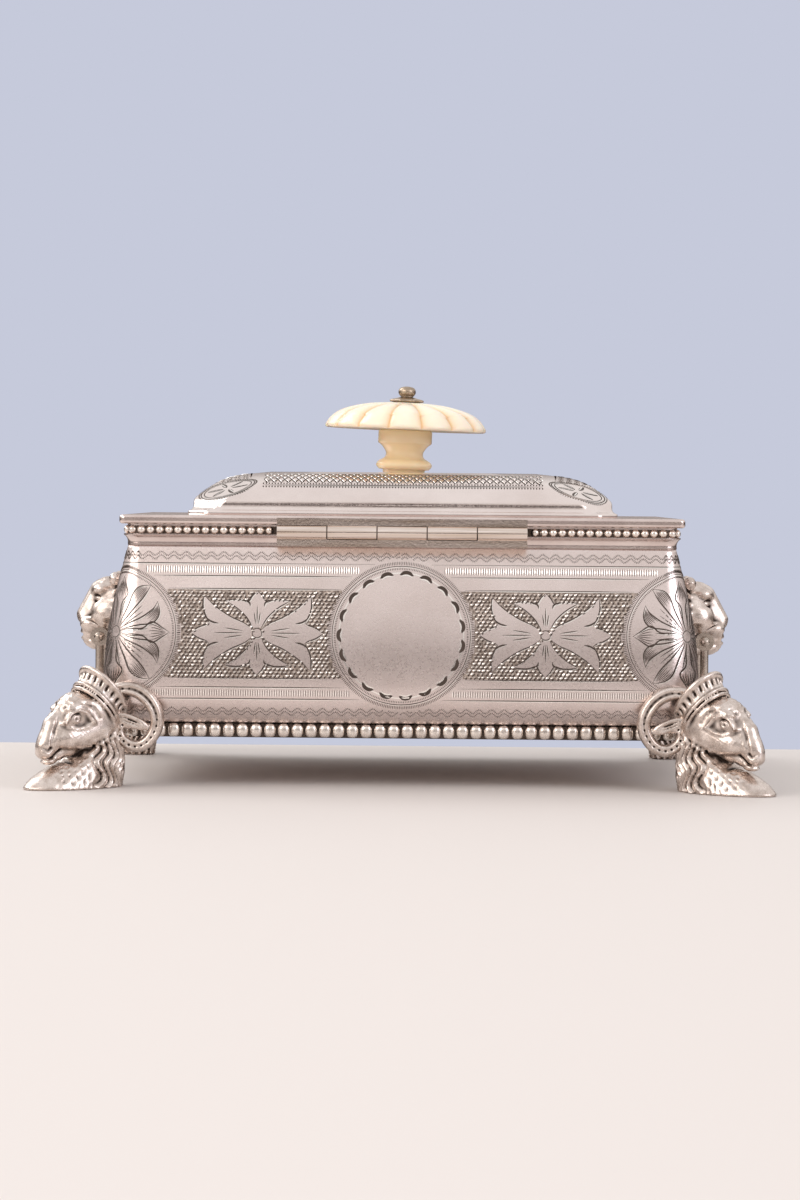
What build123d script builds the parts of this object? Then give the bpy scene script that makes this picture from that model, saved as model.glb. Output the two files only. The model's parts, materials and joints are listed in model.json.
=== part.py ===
"""Silver-plated sardine box: hinged lid with fluted ivory-coloured knob, four ram's-head
feet, lion masks with drop handles, glass liner. Millimetres, +Z up, hinge side at -Y."""
from build123d import *
from math import atan2, cos, degrees, hypot, pi, radians, sin
import os

os.makedirs("parts", exist_ok=True)

# Box walls: half sizes at the mouth, and the corner's radius there
half_length = 73.5
half_depth = 54.0
corner = 3.5
wall = 1.2
bulge = 6.3              # how far the wall stands out at its fullest
base_z = 13.0            # underside of the bottom bead row
bead_height = 4.0
base_sheet = 1.4
wall_height = 47.3

# Rim moulding and flange
rim_height = 5.7
rim_width = 3.2
rim_foot = 0.15          # the moulding's lower edge, out from the mouth's line
rim_shelf = 1.2          # the shelf that the upper bead row stands on
shelf_height = 3.0
rim_face = 0.2           # upright face behind the upper bead row
ledge_width = 1.8        # carries the lip of the liner
ledge_drop = 2.5         # from the rim's top down to the ledge
flange_overhang = 2.1
flange_thick = 2.4
flange_round = 0.8

# Bead rows
small_row = 2.1          # height of the upper row, which stands out by half of that
large_pitch = 3.68
large_bead = 1.75
row_back = 1.6           # the strip behind the beads

# Lid dome
dome_half_length = 58.5
dome_half_depth = 42.0
dome_height = 12.0
dome_step = 1.0
dome_sheet = 1.2
dome_cant = 5.0

# Hinge
hinge_length = 66.7
knuckles = 5
barrel_d = 3.6
pin_d = 1.8
hinge_gap = 0.1
leaf_thick = 1.9
leaf_front = 0.3         # how far the leaves stand in front of the pin's axis
web_back = 1.3           # and the webs of the knuckles behind it
pin_clearance = 0.05

# Knob
stem_height = 12.1
collar_d = 15.1
waist_d = 10.4
stem_base_d = 15.7
cap_d = 45.6
cap_height = 7.7
flutes = 15
groove_depth = 0.9       # of the cap's grooves, at the edge
stud_d = 3.0
washer_d = 10.4
washer_thick = 1.5
nut_d = 4.9
nut_height = 3.1
inner_nut_d = 9.0
inner_nut_thick = 2.4

# Feet
foot_turn = 40.0         # from the long wall's line, towards the corner's outside
foot_offset = 0.5        # the foot's back corner: in from the mouth's line at the end, out from it at the side
foot_length = 32.8
chest_half = 8.0
neck_half = 6.2
crown_half = 7.2
horn_d = 2.6
horn_gap = 0.2
horn_in = 9.9            # horn's middle, in from the wall's fullest line

# Masks and drop handles
mask_z = 46.0
mask_height = 22.0
mask_width = 22.0
mask_reach = 14.5
pivot_out = 4.6          # pivot's axis, out from the wall's fullest line
pivot_z = 38.0
pivot_d = 2.0
pivot_clearance = 0.08
bail_wire = 2.3
bail_half = 12.2
bail_drop = 23.0
bail_bend = 7.5
eye_d = 5.2
eye_gap = 0.25
ball_d = 2.7

# Liner
liner_wall = 2.4
liner_lip = 2.0
liner_depth = 44.0
liner_gap = 0.3
liner_taper = 2.0

# Heights that follow from the sizes above
shell_z = base_z + bead_height
rim_z = shell_z + wall_height
lid_z = rim_z + rim_height
dome_z = lid_z + flange_thick
knob_z = dome_z + dome_height
cap_z = knob_z + stem_height
wall_line = half_length + bulge
hinge_y = -(half_depth + flange_overhang + barrel_d / 2 + 0.4)
hinge_z = lid_z - hinge_gap - barrel_d / 2


def outline(points):
    return make_face(Polyline(*points, close=True))


def run_round(section):
    """Carry a section (x: out from the mouth's line, y: height) round the rounded rectangle."""
    px, py = half_length - corner, half_depth - corner
    back = extrude(Plane(origin=(-px, half_depth, 0), x_dir=(0, 1, 0), z_dir=(1, 0, 0)) * section, 2 * px)
    side = extrude(Plane(origin=(half_length, py, 0), x_dir=(1, 0, 0), z_dir=(0, -1, 0)) * section, 2 * py)
    at_corner = Plane(origin=(px + corner, py, 0), x_dir=(1, 0, 0), z_dir=(0, -1, 0)) * section
    turn = revolve(at_corner, Axis((px, py, 0), (0, 0, 1)), 90)
    half = back + side + turn + mirror(turn, Plane.YZ)
    return half + mirror(half, Plane.XZ) + mirror(side, Plane.YZ)


def block(x, y, z):
    """A box between three pairs of limits."""
    middle = ((x[0] + x[1]) / 2, (y[0] + y[1]) / 2, (z[0] + z[1]) / 2)
    return Pos(*middle) * Box(x[1] - x[0], y[1] - y[0], z[1] - z[0])


def keep(name, shape):
    solids = shape.solids() if hasattr(shape, "solids") else shape
    whole = solids[0] if len(solids) == 1 else Compound(children=list(solids))
    whole.label = name
    export_step(whole, f"parts/{name}.step")


# Body shell: the wall flares to its fullest low down and tucks in above the bead row
def wall_curve(inset):
    """Points of the wall's profile, outside face moved in by inset."""
    shape = [(1.0, 0.0), (bulge * 0.80, 0.085), (bulge, 0.24), (bulge * 0.86, 0.50), (bulge * 0.47, 0.76), (0.0, 1.0)]
    return [(out - inset, shell_z + wall_height * up) for out, up in shape]


def wall_section(inset_out, inset_in):
    outside, inside = wall_curve(inset_out), wall_curve(inset_in)
    return make_face([Spline(*outside), Line(outside[-1], inside[-1]), Spline(*reversed(inside)), Line(inside[0], outside[0])])


body_shell = run_round(wall_section(0, wall))
keep("body_shell", body_shell)

# Solid envelope of the wall and the bead row, for seating what is fixed to them
outside = wall_curve(0)
envelope = run_round(make_face([
    Spline(*outside), Line(outside[-1], (-corner, rim_z)), Line((-corner, rim_z), (-corner, shell_z)),
    Line((-corner, shell_z), outside[0])]))

# Base plate, inside the strip of the bottom bead row
plate_inset = row_back
base_plate = Pos(0, 0, shell_z - base_sheet) * extrude(RectangleRounded(
    2 * (half_length - plate_inset), 2 * (half_depth - plate_inset), corner - plate_inset), base_sheet)
keep("base_plate", base_plate)

# Rim moulding: ledge inside for the liner; outside a hollow curve up to the shelf of the bead row
shelf_z = rim_z + shelf_height
rim_section = make_face([
    Line((rim_foot, rim_z), (rim_foot, rim_z + 0.5)),
    ThreePointArc((rim_foot, rim_z + 0.5), (rim_foot + 0.3, shelf_z - 1.0), (rim_shelf, shelf_z - 0.3)),
    Line((rim_shelf, shelf_z - 0.3), (rim_shelf, shelf_z)),
    Line((rim_shelf, shelf_z), (rim_face, shelf_z)),
    Line((rim_face, shelf_z), (rim_face, lid_z)),
    Line((rim_face, lid_z), (ledge_width - rim_width, lid_z)),
    Line((ledge_width - rim_width, lid_z), (ledge_width - rim_width, lid_z - ledge_drop)),
    Line((ledge_width - rim_width, lid_z - ledge_drop), (-rim_width, lid_z - ledge_drop)),
    Line((-rim_width, lid_z - ledge_drop), (-rim_width, rim_z)),
    Line((-rim_width, rim_z), (rim_foot, rim_z))])
rim_moulding = run_round(rim_section)
keep("rim_moulding", rim_moulding)


# Bead rows: strips whose outline is a chain of half-round beads
def bead_strip(out, back, pitch, radius, height):
    """A strip round the box, its back at one offset, its beads' centres at another."""
    px, py, turn = half_length - corner, half_depth - corner, corner + out
    lengths = [2 * px, turn * pi / 2, 2 * py, turn * pi / 2] * 2
    count = round(sum(lengths) / pitch)
    corners = [(px, py, 90), (px, -py, 0), (-px, -py, -90), (-px, py, 180)]

    def place(run):
        for side in range(8):
            if run < lengths[side] or side == 7:
                break
            run -= lengths[side]
        cx, cy, angle = corners[side // 2]
        a = radians(angle)
        if side % 2 == 0:
            start = (cx - lengths[side] * sin(a), cy + lengths[side] * cos(a))
            return (start[0] + turn * cos(a) + run * sin(a), start[1] + turn * sin(a) - run * cos(a), a)
        a -= run / turn
        return cx + turn * cos(a), cy + turn * sin(a), a

    points = []
    for i in range(count):
        x, y, a = place((i + 0.5) * sum(lengths) / count)
        for k in (90, 36, -36):
            reach = radius if abs(k) < 90 else radius * 0.9
            points.append((x + reach * cos(a + radians(k)), y + reach * sin(a + radians(k))))
    hole = RectangleRounded(2 * (half_length + back), 2 * (half_depth + back), corner + back)
    return extrude(outline(points) - hole, height)


hinge_space = block((-hinge_length / 2 - 0.3, hinge_length / 2 + 0.3), (-half_depth - 9, -half_depth), (rim_z, dome_z))
small_row_z = lid_z - 0.5 - small_row
rim_bead_row = run_round(make_face([
    Line((rim_face, small_row_z), (rim_face, small_row_z + small_row)),
    ThreePointArc((rim_face, small_row_z + small_row), (rim_face + small_row / 2, small_row_z + small_row / 2),
                  (rim_face, small_row_z))])) - hinge_space
keep("rim_bead_row", rim_bead_row)
bottom_bead_row = Pos(0, 0, base_z) * bead_strip(0, -row_back, large_pitch, large_bead, bead_height)
keep("bottom_bead_row", bottom_bead_row)


# Lid flange and dome
def canted(half_x, half_y, cut):
    return outline([(half_x, half_y - cut), (half_x - cut, half_y), (cut - half_x, half_y), (-half_x, half_y - cut),
                    (-half_x, cut - half_y), (cut - half_x, -half_y), (half_x - cut, -half_y), (half_x, cut - half_y)])


def dome(inset):
    """The dome's form: upright step, hollow side, then a full curve with widening canted corners, flat top."""
    levels = [(0.0, 0.0, 1.0), (dome_step, 0.0, 1.0), (dome_step * 1.8, 1.2, 1.3), (dome_height * 0.32, 1.5, 1.7),
              (dome_height * 0.48, 2.9, 2.1), (dome_height * 0.66, 5.6, 2.5), (dome_height * 0.82, 9.3, 2.8),
              (dome_height * 0.93, 14.6, 2.9), (dome_height, 21.5, 2.6)]
    sections = []
    for height, pulled, cut in levels:
        down = inset if height > dome_step else 0
        sections.append(Pos(0, 0, dome_z + height - down) * canted(
            dome_half_length - pulled - inset, dome_half_depth - pulled - inset, dome_cant * cut))
    return loft(sections, ruled=True)


stud_hole = Pos(0, 0, knob_z) * Cylinder(stud_d / 2, 6)
lid_dome = dome(0) - dome(dome_sheet) - stud_hole
keep("lid_dome", lid_dome)

flange = extrude(RectangleRounded(2 * (half_length + flange_overhang), 2 * (half_depth + flange_overhang),
                                  corner - 2.0), flange_thick)
flange = fillet(flange.edges().filter_by(Axis.Z, reverse=True), flange_round)
opening = extrude(canted(dome_half_length - dome_sheet, dome_half_depth - dome_sheet, dome_cant), flange_thick)
lid_flange = Pos(0, 0, lid_z) * (flange - opening)
keep("lid_flange", lid_flange)

# Hinge: knuckles 1, 3 and 5 on the body, 2 and 4 on the lid, one pin through all
knuckle_length = hinge_length / knuckles
leaf_y = (hinge_y - leaf_front, -(half_depth + flange_overhang))
pin_hole = Pos(0, hinge_y, hinge_z) * Rot(0, 90, 0) * Cylinder(pin_d / 2 + pin_clearance, hinge_length + 2)


def leaf(first, plate, web):
    """One leaf: its plate over the whole length, and every second knuckle with a web to the plate."""
    metal = plate
    for i in range(first, knuckles, 2):
        x = -hinge_length / 2 + i * knuckle_length
        ends = (x + hinge_gap / 2, x + knuckle_length - hinge_gap / 2)
        barrel = Pos(sum(ends) / 2, hinge_y, hinge_z) * Rot(0, 90, 0) * Cylinder(barrel_d / 2, ends[1] - ends[0])
        metal = metal + barrel + block(ends, (hinge_y - leaf_front, hinge_y + web_back), web)
    return metal - pin_hole


across = (-hinge_length / 2, hinge_length / 2)
lid_plate = block(across, leaf_y, (lid_z, lid_z + leaf_thick))
keep("hinge_leaf_lid", leaf(1, lid_plate, (hinge_z, lid_z + 0.01)))
low = hinge_z - barrel_d / 2 - hinge_gap
body_plate = block(across, (hinge_y - leaf_front, -(half_depth + rim_foot)), (low - leaf_thick, low))
body_leaf = leaf(0, body_plate, (low - 0.01, hinge_z)) - rim_moulding
keep("hinge_leaf_body", body_leaf)
hinge_pin = Pos(0, hinge_y, hinge_z) * Rot(0, 90, 0) * Cylinder(pin_d / 2, hinge_length)
keep("hinge_pin", hinge_pin)

# Knob: turned stem, fluted cap, petal washer, flattened ball nut, stud and inner nut
stem_profile = make_face([
    Line((0, 0), (5.9, 0)), Line((5.9, 0), (5.9, 0.8)), Line((5.9, 0.8), (stem_base_d / 2 - 0.8, 1.0)),
    ThreePointArc((stem_base_d / 2 - 0.8, 1.0), (stem_base_d / 2, 2.2), (stem_base_d / 2 - 0.8, 3.4)),
    ThreePointArc((stem_base_d / 2 - 0.8, 3.4), (waist_d / 2, 5.4), (collar_d / 2, stem_height - 3.0)),
    Line((collar_d / 2, stem_height - 3.0), (collar_d / 2, stem_height)),
    Line((collar_d / 2, stem_height), (0, stem_height)), Line((0, stem_height), (0, 0))])
stem = revolve(Plane.XZ * stem_profile, Axis.Z) - Cylinder(stud_d / 2, 3 * stem_height)
keep("knob_stem", Pos(0, 0, knob_z) * stem)

cap_r = cap_d / 2


def lobed(radius, deep):
    """The cap's outline at one level: a groove, then three points round the lobe, for each flute."""
    step = 2 * pi / flutes
    points = []
    for i in range(flutes):
        for turn, cut in [(-0.5, deep), (-0.28, deep * 0.22), (0.0, 0.0), (0.28, deep * 0.22)]:
            a = (i + turn) * step - pi / 2
            points.append(((radius - cut) * cos(a), (radius - cut) * sin(a)))
    return outline(points)


cap_levels = [(0.0, 1.0, 1.0), (0.12, 1.0, 1.0), (0.34, 0.95, 1.0), (0.63, 0.835, 0.9), (0.82, 0.66, 0.7), (0.94, 0.46, 0.4),
              (1.0, 0.23, 0.1)]
cap = loft([Pos(0, 0, cap_height * up) * lobed(cap_r * out, groove_depth * deep) for up, out, deep in cap_levels], ruled=True)
cap = cap - Cylinder(stud_d / 2, 3 * cap_height)
keep("knob_cap", Pos(0, 0, cap_z) * cap)

top_z = cap_z + cap_height
petals = Cylinder(washer_d / 2 - 0.9, washer_thick)
for i in range(8):
    petals = petals + Rot(0, 0, 45 * i) * Pos(washer_d / 2 - 1.5, 0, 0) * Cylinder(1.5, washer_thick)
washer = petals - Cylinder(stud_d / 2, 3 * washer_thick)
keep("knob_washer", Pos(0, 0, top_z + washer_thick / 2) * washer)
nut_z = top_z + washer_thick
nut = revolve(Plane.XZ * make_face([
    Line((0, 0), (nut_d / 2 - 0.9, 0)),
    ThreePointArc((nut_d / 2 - 0.9, 0), (nut_d / 2, nut_height / 2), (nut_d / 2 - 0.9, nut_height)),
    Line((nut_d / 2 - 0.9, nut_height), (0, nut_height)), Line((0, nut_height), (0, 0))]), Axis.Z)
keep("knob_nut", Pos(0, 0, nut_z) * nut)
stud_low = knob_z - dome_sheet - inner_nut_thick
stud = Pos(0, 0, (stud_low + nut_z) / 2) * Cylinder(stud_d / 2, nut_z - stud_low)
keep("knob_stud", stud)
inner_nut = extrude(RegularPolygon(inner_nut_d / 2, 6) - Circle(stud_d / 2), inner_nut_thick)
keep("knob_inner_nut", Pos(0, 0, stud_low) * inner_nut)


# Feet: a ram's head over a flaring chest, cut to seat on the corner of the wall
def oval(s, z, r_long, r_side, lean=0):
    """An oval across the foot, its long way outward; lean tips it forward about its side axis."""
    return Pos(s, 0, z) * Rot(0, lean, 0) * Ellipse(r_long, r_side)


drawn = foot_length / 32.8   # the head's outlines below are drawn for a foot 32.8 long


def upright(z, rear, front, half):
    return oval((rear + front) / 2 * drawn, z * drawn, (front - rear) / 2 * drawn, half)


def across_head(lower, upper, half):
    """An oval across the head, between a point under it and one on its ridge, both (outward, height)."""
    span = (upper[0] - lower[0], upper[1] - lower[1])
    middle = ((upper[0] + lower[0]) / 2 * drawn, (upper[1] + lower[1]) / 2 * drawn)
    return oval(*middle, hypot(*span) / 2 * drawn, half, 180 - degrees(atan2(span[1], span[0])))


chest = loft([upright(0, 2.8, 32.8, chest_half), upright(1.6, 2.6, 32.0, chest_half * 0.96),
              upright(4, 2.2, 28.8, chest_half * 0.88), upright(7, 2.0, 22.4, neck_half * 1.05),
              upright(10.5, 2.4, 16.6, neck_half), upright(16, 3.2, 15.5, neck_half),
              upright(20.5, 3.8, 14.0, neck_half * 0.9)])
face = loft([across_head((4.6, 17.2), (16.7, 26.2), neck_half * 1.04), across_head((8.8, 13.4), (21.2, 24.0), neck_half * 1.08),
             across_head((15.0, 10.9), (24.9, 20.4), neck_half * 0.80),
             across_head((20.6, 9.0), (27.9, 15.4), neck_half * 0.56),
             across_head((25.4, 7.3), (29.3, 11.2), neck_half * 0.44),
             across_head((27.0, 7.2), (28.9, 9.1), neck_half * 0.26)])
coronet = loft([across_head((4.1, 16.7), (17.0, 26.0), crown_half * 0.94),
                across_head((1.9, 20.3), (14.6, 31.4), crown_half)], ruled=True)
ram = chest + face + coronet
stand = block((-2 * foot_length, 2 * foot_length), (-foot_length, foot_length), (0, 2 * foot_length))
ram = ram & stand


def horn():
    """A spiral in the XZ plane, from inside the head over the top and back in under itself."""
    points = [(-8.6, 23.8), (-3.2, 26.3), (1.0, 25.1), (4.4, 21.3), (5.3, 17.4), (4.1, 13.9), (-0.4, 10.9), (-3.4, 12.2),
              (-4.7, 14.6), (-3.6, 16.6)]
    line = Spline(*[(x * drawn, z * drawn) for x, z in points])
    path = Plane.XZ * Wire([line])
    return sweep(Plane(origin=path @ 0, z_dir=path % 0) * RegularPolygon(horn_d / 2, 8), path)


horn_out = horn_gap + horn_d / 2
spiral = horn()
for name, sx, sy in [("near_left", -1, -1), ("near_right", 1, -1), ("far_left", -1, 1), ("far_right", 1, 1)]:
    angle = {(1, 1): foot_turn, (-1, 1): 180 - foot_turn, (-1, -1): 180 + foot_turn, (1, -1): -foot_turn}[sx, sy]
    foot = Pos(sx * (half_length - foot_offset), sy * (half_depth + foot_offset), 0) * Rot(0, 0, angle) * ram
    row = Pos(0, 0, base_z) * extrude(RectangleRounded(
        2 * (half_length + large_bead), 2 * (half_depth + large_bead), corner + large_bead), bead_height)
    foot = foot - envelope - row
    keep(f"{name}_foot", foot)
    long_horn = Pos(-(wall_line - horn_in), -(half_depth + bulge + horn_out), 0) * spiral
    end_horn = Pos(-(wall_line + horn_out), -(half_depth + bulge - horn_in), 0) * Rot(0, 0, 90) * mirror(
        spiral, Plane.YZ)
    pair = [long_horn, end_horn]
    if sx > 0:
        pair = [mirror(one, Plane.YZ) for one in pair]
    if sy > 0:
        pair = [mirror(one, Plane.XZ) for one in pair]
    keep(f"{name}_horns", Compound(children=[max((one - foot).solids(), key=lambda s: s.volume) for one in pair]))

# Lion masks, pivots and drop handles
pivot_x = wall_line + pivot_out
pivot_hole = Pos(pivot_x, 0, pivot_z) * Rot(90, 0, 0) * Cylinder(pivot_d / 2, 2 * mask_width)
mask_root = half_length


def mask_oval(out, z, high, wide):
    return Plane(origin=(mask_root + out, 0, z), x_dir=(0, 1, 0), z_dir=(1, 0, 0)) * Ellipse(wide / 2, high / 2)


reach_x = wall_line - 2.5 + mask_reach - mask_root
mask = loft([mask_oval(0, mask_z, mask_height, mask_width),
             mask_oval(reach_x * 0.45, mask_z, mask_height * 0.95, mask_width * 0.92),
             mask_oval(reach_x * 0.68, mask_z - 1.6, mask_height * 0.80, mask_width * 0.72),
             mask_oval(reach_x * 0.88, mask_z - 3.6, mask_height * 0.60, mask_width * 0.52),
             mask_oval(reach_x, mask_z - 3.6, mask_height * 0.34, mask_width * 0.32)])
mask = mask - envelope - pivot_hole
ball_y = bail_half + bail_wire / 2 + eye_gap
pin = Rot(90, 0, 0) * Cylinder(pivot_d / 2, 2 * ball_y + 0.6)
for side in (-1, 1):
    pin = pin + Pos(0, side * (ball_y + ball_d / 2), 0) * Sphere(ball_d / 2)
pin = Pos(pivot_x, 0, pivot_z) * pin

arm = FilletPolyline((0, -bail_half, -eye_d / 2 + 0.5), (0, -bail_half, -bail_drop), (0, bail_half, -bail_drop),
                     (0, bail_half, -eye_d / 2 + 0.5), radius=bail_bend)
bail = sweep(Plane(origin=arm @ 0, z_dir=arm % 0) * Circle(bail_wire / 2), arm)
for side in (-1, 1):
    bail = bail + Pos(0, side * bail_half, 0) * Rot(90, 0, 0) * Cylinder(eye_d / 2, bail_wire)
bail = bail - Rot(90, 0, 0) * Cylinder(pivot_d / 2 + pivot_clearance, 4 * bail_half)
bail = Pos(pivot_x, 0, pivot_z) * bail
for name, turn in [("right", 0), ("left", 180)]:
    keep(f"{name}_mask", Rot(0, 0, turn) * mask)
    keep(f"{name}_pivot_pin", Rot(0, 0, turn) * pin)
    keep(f"{name}_bail", Rot(0, 0, turn) * bail)

# Liner: a plain pressed-glass dish, its lip on the ledge of the rim moulding
lip_z = lid_z - ledge_drop
lip_in = rim_width - ledge_width + liner_gap
dish_in = rim_width + liner_gap


def tub(inset, z_low, z_high):
    """A tapering block with rounded corners, at its full size on top."""
    top = RectangleRounded(2 * (half_length - inset), 2 * (half_depth - inset), corner - 1.0)
    foot_inset = inset + liner_taper
    bottom = RectangleRounded(2 * (half_length - foot_inset), 2 * (half_depth - foot_inset), corner - 1.0)
    return loft([Pos(0, 0, z_low) * bottom, Pos(0, 0, z_high) * top])


lip = extrude(RectangleRounded(2 * (half_length - lip_in), 2 * (half_depth - lip_in), corner - lip_in), liner_lip)
liner = tub(dish_in, lip_z - liner_depth, lip_z) + Pos(0, 0, lip_z) * lip
hollow = tub(dish_in + liner_wall, lip_z - liner_depth + liner_wall, lip_z + liner_lip)
keep("liner", liner - hollow)
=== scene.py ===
# Sardine box in silver plate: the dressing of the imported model, from the walls outwards.
import json
from math import atan2, cos, hypot, pi, radians, sin

import bmesh
import bpy
import numpy as np
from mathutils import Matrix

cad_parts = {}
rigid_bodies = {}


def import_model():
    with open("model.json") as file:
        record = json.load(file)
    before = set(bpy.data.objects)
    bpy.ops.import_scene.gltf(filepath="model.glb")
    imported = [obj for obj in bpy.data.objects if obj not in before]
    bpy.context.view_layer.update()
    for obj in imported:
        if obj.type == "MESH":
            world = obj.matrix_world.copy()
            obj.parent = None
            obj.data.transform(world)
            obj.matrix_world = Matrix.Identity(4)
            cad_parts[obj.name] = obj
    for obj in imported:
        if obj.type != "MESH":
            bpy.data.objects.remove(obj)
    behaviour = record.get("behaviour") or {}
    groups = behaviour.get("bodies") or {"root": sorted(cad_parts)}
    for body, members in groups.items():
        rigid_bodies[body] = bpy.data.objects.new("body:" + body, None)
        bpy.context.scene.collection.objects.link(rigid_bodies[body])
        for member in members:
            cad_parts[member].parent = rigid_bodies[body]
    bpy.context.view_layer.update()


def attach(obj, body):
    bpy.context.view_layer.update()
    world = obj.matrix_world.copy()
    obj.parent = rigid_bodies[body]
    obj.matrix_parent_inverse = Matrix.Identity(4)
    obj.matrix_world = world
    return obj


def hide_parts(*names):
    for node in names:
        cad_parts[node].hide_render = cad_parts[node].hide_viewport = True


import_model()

import openvdb as vdb
from mathutils import Matrix, Vector, geometry

MM = 0.001

# Body shell: raised sheet, silver plated and hand engraved. The wall flares to its fullest low down.
# It is drawn afresh here, because plate shows every facet.
HALF_X, HALF_Y, CORNER = 73.5, 54.0, 3.5
SHELL_Z, WALL_H, BULGE, WALL = 17.0, 47.3, 6.3, 1.2
wall_knots = [(1.0, 0.0), (BULGE * 0.80, 0.085), (BULGE, 0.24), (BULGE * 0.86, 0.50), (BULGE * 0.47, 0.76),
              (0.0, 1.0)]


def smooth_run(knots, count):
    """A natural cubic curve through (x, y) knots, as count points, spaced by chord length."""
    k = np.array(knots, float)
    t = np.r_[0, np.cumsum(np.hypot(*np.diff(k, axis=0).T))]
    n, h = len(k), np.diff(t)
    a = np.zeros((n, n))
    b = np.zeros((n, 2))
    a[0, 0] = a[-1, -1] = 1
    for i in range(1, n - 1):
        a[i, i - 1:i + 2] = h[i - 1], 2 * (h[i - 1] + h[i]), h[i]
        b[i] = 6 * ((k[i + 1] - k[i]) / h[i] - (k[i] - k[i - 1]) / h[i - 1])
    m = np.linalg.solve(a, b)
    s = np.linspace(0, t[-1], count)
    i = np.clip(np.searchsorted(t, s) - 1, 0, n - 2)
    u, v, hh = (t[i + 1] - s)[:, None], (s - t[i])[:, None], h[i][:, None]
    return (m[i] * u**3 + m[i + 1] * v**3) / (6 * hh) + (k[i] / hh - m[i] * hh / 6) * u + (
        k[i + 1] / hh - m[i + 1] * hh / 6) * v


wall_line = smooth_run([(o, SHELL_Z + WALL_H * u) for o, u in wall_knots], 60)
STRAIGHT_X, STRAIGHT_Y = HALF_X - CORNER, HALF_Y - CORNER
ARC = (CORNER + 4.8) * pi / 2
GIRTH = 4 * (STRAIGHT_X + STRAIGHT_Y + ARC)
END_RUN = STRAIGHT_X + ARC + STRAIGHT_Y          # from mid hinge side to mid end wall
CORNER_RUN = STRAIGHT_X + ARC / 2


def round_box(run, out):
    """The point at a run from the middle of the hinge side towards +X, out from the mouth's line."""
    run = (run + STRAIGHT_X) % GIRTH
    x0, y0, way = -STRAIGHT_X, -HALF_Y, 0
    for length, bend in [(2 * STRAIGHT_X, 0), (ARC, 1), (2 * STRAIGHT_Y, 0), (ARC, 1)] * 2:
        if run <= length or (way > 5 and bend):
            break
        run -= length
        if bend:
            x0 += CORNER * (cos(way) + cos(way + pi / 2))
            y0 += CORNER * (sin(way) + sin(way + pi / 2))
            way += pi / 2
        else:
            x0 += length * cos(way)
            y0 += length * sin(way)
    if not bend:
        return x0 + run * cos(way) + out * sin(way), y0 + run * sin(way) - out * cos(way), way
    turn = way + run / ARC * pi / 2
    cx, cy = x0 - CORNER * sin(way), y0 + CORNER * cos(way)
    return cx + (CORNER + out) * sin(turn), cy - (CORNER + out) * cos(turn), turn


def wall_out(z):
    return float(np.interp(z, wall_line[:, 1], wall_line[:, 0]))


def wall_spot(run, z, lift=0.0):
    """A point on the wall, in mm, with its outward and its sideways direction."""
    x, y, turn = round_box(run, wall_out(z))
    slope = (wall_out(z + 0.3) - wall_out(z - 0.3)) / 0.6
    n = Vector((sin(turn), -cos(turn), -slope)).normalized()
    return Vector((x, y, z)) + n * lift, n, Vector((cos(turn), sin(turn), 0))


def in_scene(name, data):
    obj = bpy.data.objects.new(name, data)
    bpy.context.scene.collection.objects.link(obj)
    return obj


def piece(name, points, faces, material, body, stands_for=(), slot=None, smooth=True):
    """A mesh from points in mm, with its material, on its body."""
    mesh = bpy.data.meshes.new(name)
    places = [tuple(c * MM for c in p) for p in points]
    mesh.from_pydata(places, [], [tuple(int(i) for i in f) for f in faces])
    mesh.validate()
    mesh.update()
    if smooth:
        mesh.shade_smooth()
    obj = in_scene(name, mesh)
    dress(obj, material, body, stands_for)
    return obj


def dress(obj, material, body, stands_for=()):
    obj.data.materials.clear()
    obj.data.materials.append(material)
    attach(obj, body)
    if stands_for:
        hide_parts(*stands_for)


def grid_faces(rows, columns, close_rows=False, close_columns=False, start=0):
    faces = []
    for r in range(rows if close_rows else rows - 1):
        for c in range(columns if close_columns else columns - 1):
            a, b = r * columns + c, r * columns + (c + 1) % columns
            d, e = (r + 1) % rows * columns + c, (r + 1) % rows * columns + (c + 1) % columns
            faces.append((start + a, start + b, start + e, start + d))
    return faces


def turned_out(obj):
    """Recalculate the normals of a closed mesh, so that they point outwards."""
    bm = bmesh.new()
    bm.from_mesh(obj.data)
    bmesh.ops.remove_doubles(bm, verts=bm.verts, dist=1e-6)
    bmesh.ops.recalc_face_normals(bm, faces=bm.faces)
    bm.to_mesh(obj.data)
    bm.free()
    obj.data.update()
    return obj


def paint(hex_code, alpha=1.0):
    """A colour written in sRGB hex, as linear values."""
    values = [int(hex_code[i:i + 2], 16) / 255 for i in (1, 3, 5)]
    return tuple(v / 12.92 if v < 0.04045 else ((v + 0.055) / 1.055)**2.4 for v in values) + (alpha,)


def node(tree, kind, settings=None, **inputs):
    """Add a node with its settings; an input is a value, or a socket to link from."""
    made = tree.nodes.new(kind)
    for key, value in (settings or {}).items():
        setattr(made, key, value)
    for key, value in inputs.items():
        numbered = key[0] == "i" and key[1:].isdigit()
        socket = made.inputs[int(key[1:]) if numbered else key.replace("_", " ")]
        if isinstance(value, bpy.types.NodeSocket):
            tree.links.new(value, socket)
        else:
            socket.default_value = value
    return made


def new_material(name):
    """A material, its emptied tree, and the coordinates that its textures can use."""
    material = bpy.data.materials.new(name)
    material.use_nodes = True
    tree = material.node_tree
    tree.nodes.clear()
    return material, tree, node(tree, "ShaderNodeTexCoord").outputs


def noise(tree, place, scale, detail, **more):
    return node(tree, "ShaderNodeTexNoise", Vector=place, Scale=scale, Detail=detail, **more).outputs["Fac"]


def remap(tree, value, low, high, new_low=0.0, new_high=1.0):
    return node(tree, "ShaderNodeMapRange", i0=value, i1=low, i2=high, i3=new_low, i4=new_high).outputs[0]


def blend(tree, share, first, second):
    """Two colours mixed by a share."""
    return node(tree, "ShaderNodeMix", {"data_type": "RGBA"}, i0=share, i6=first, i7=second).outputs[2]


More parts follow.
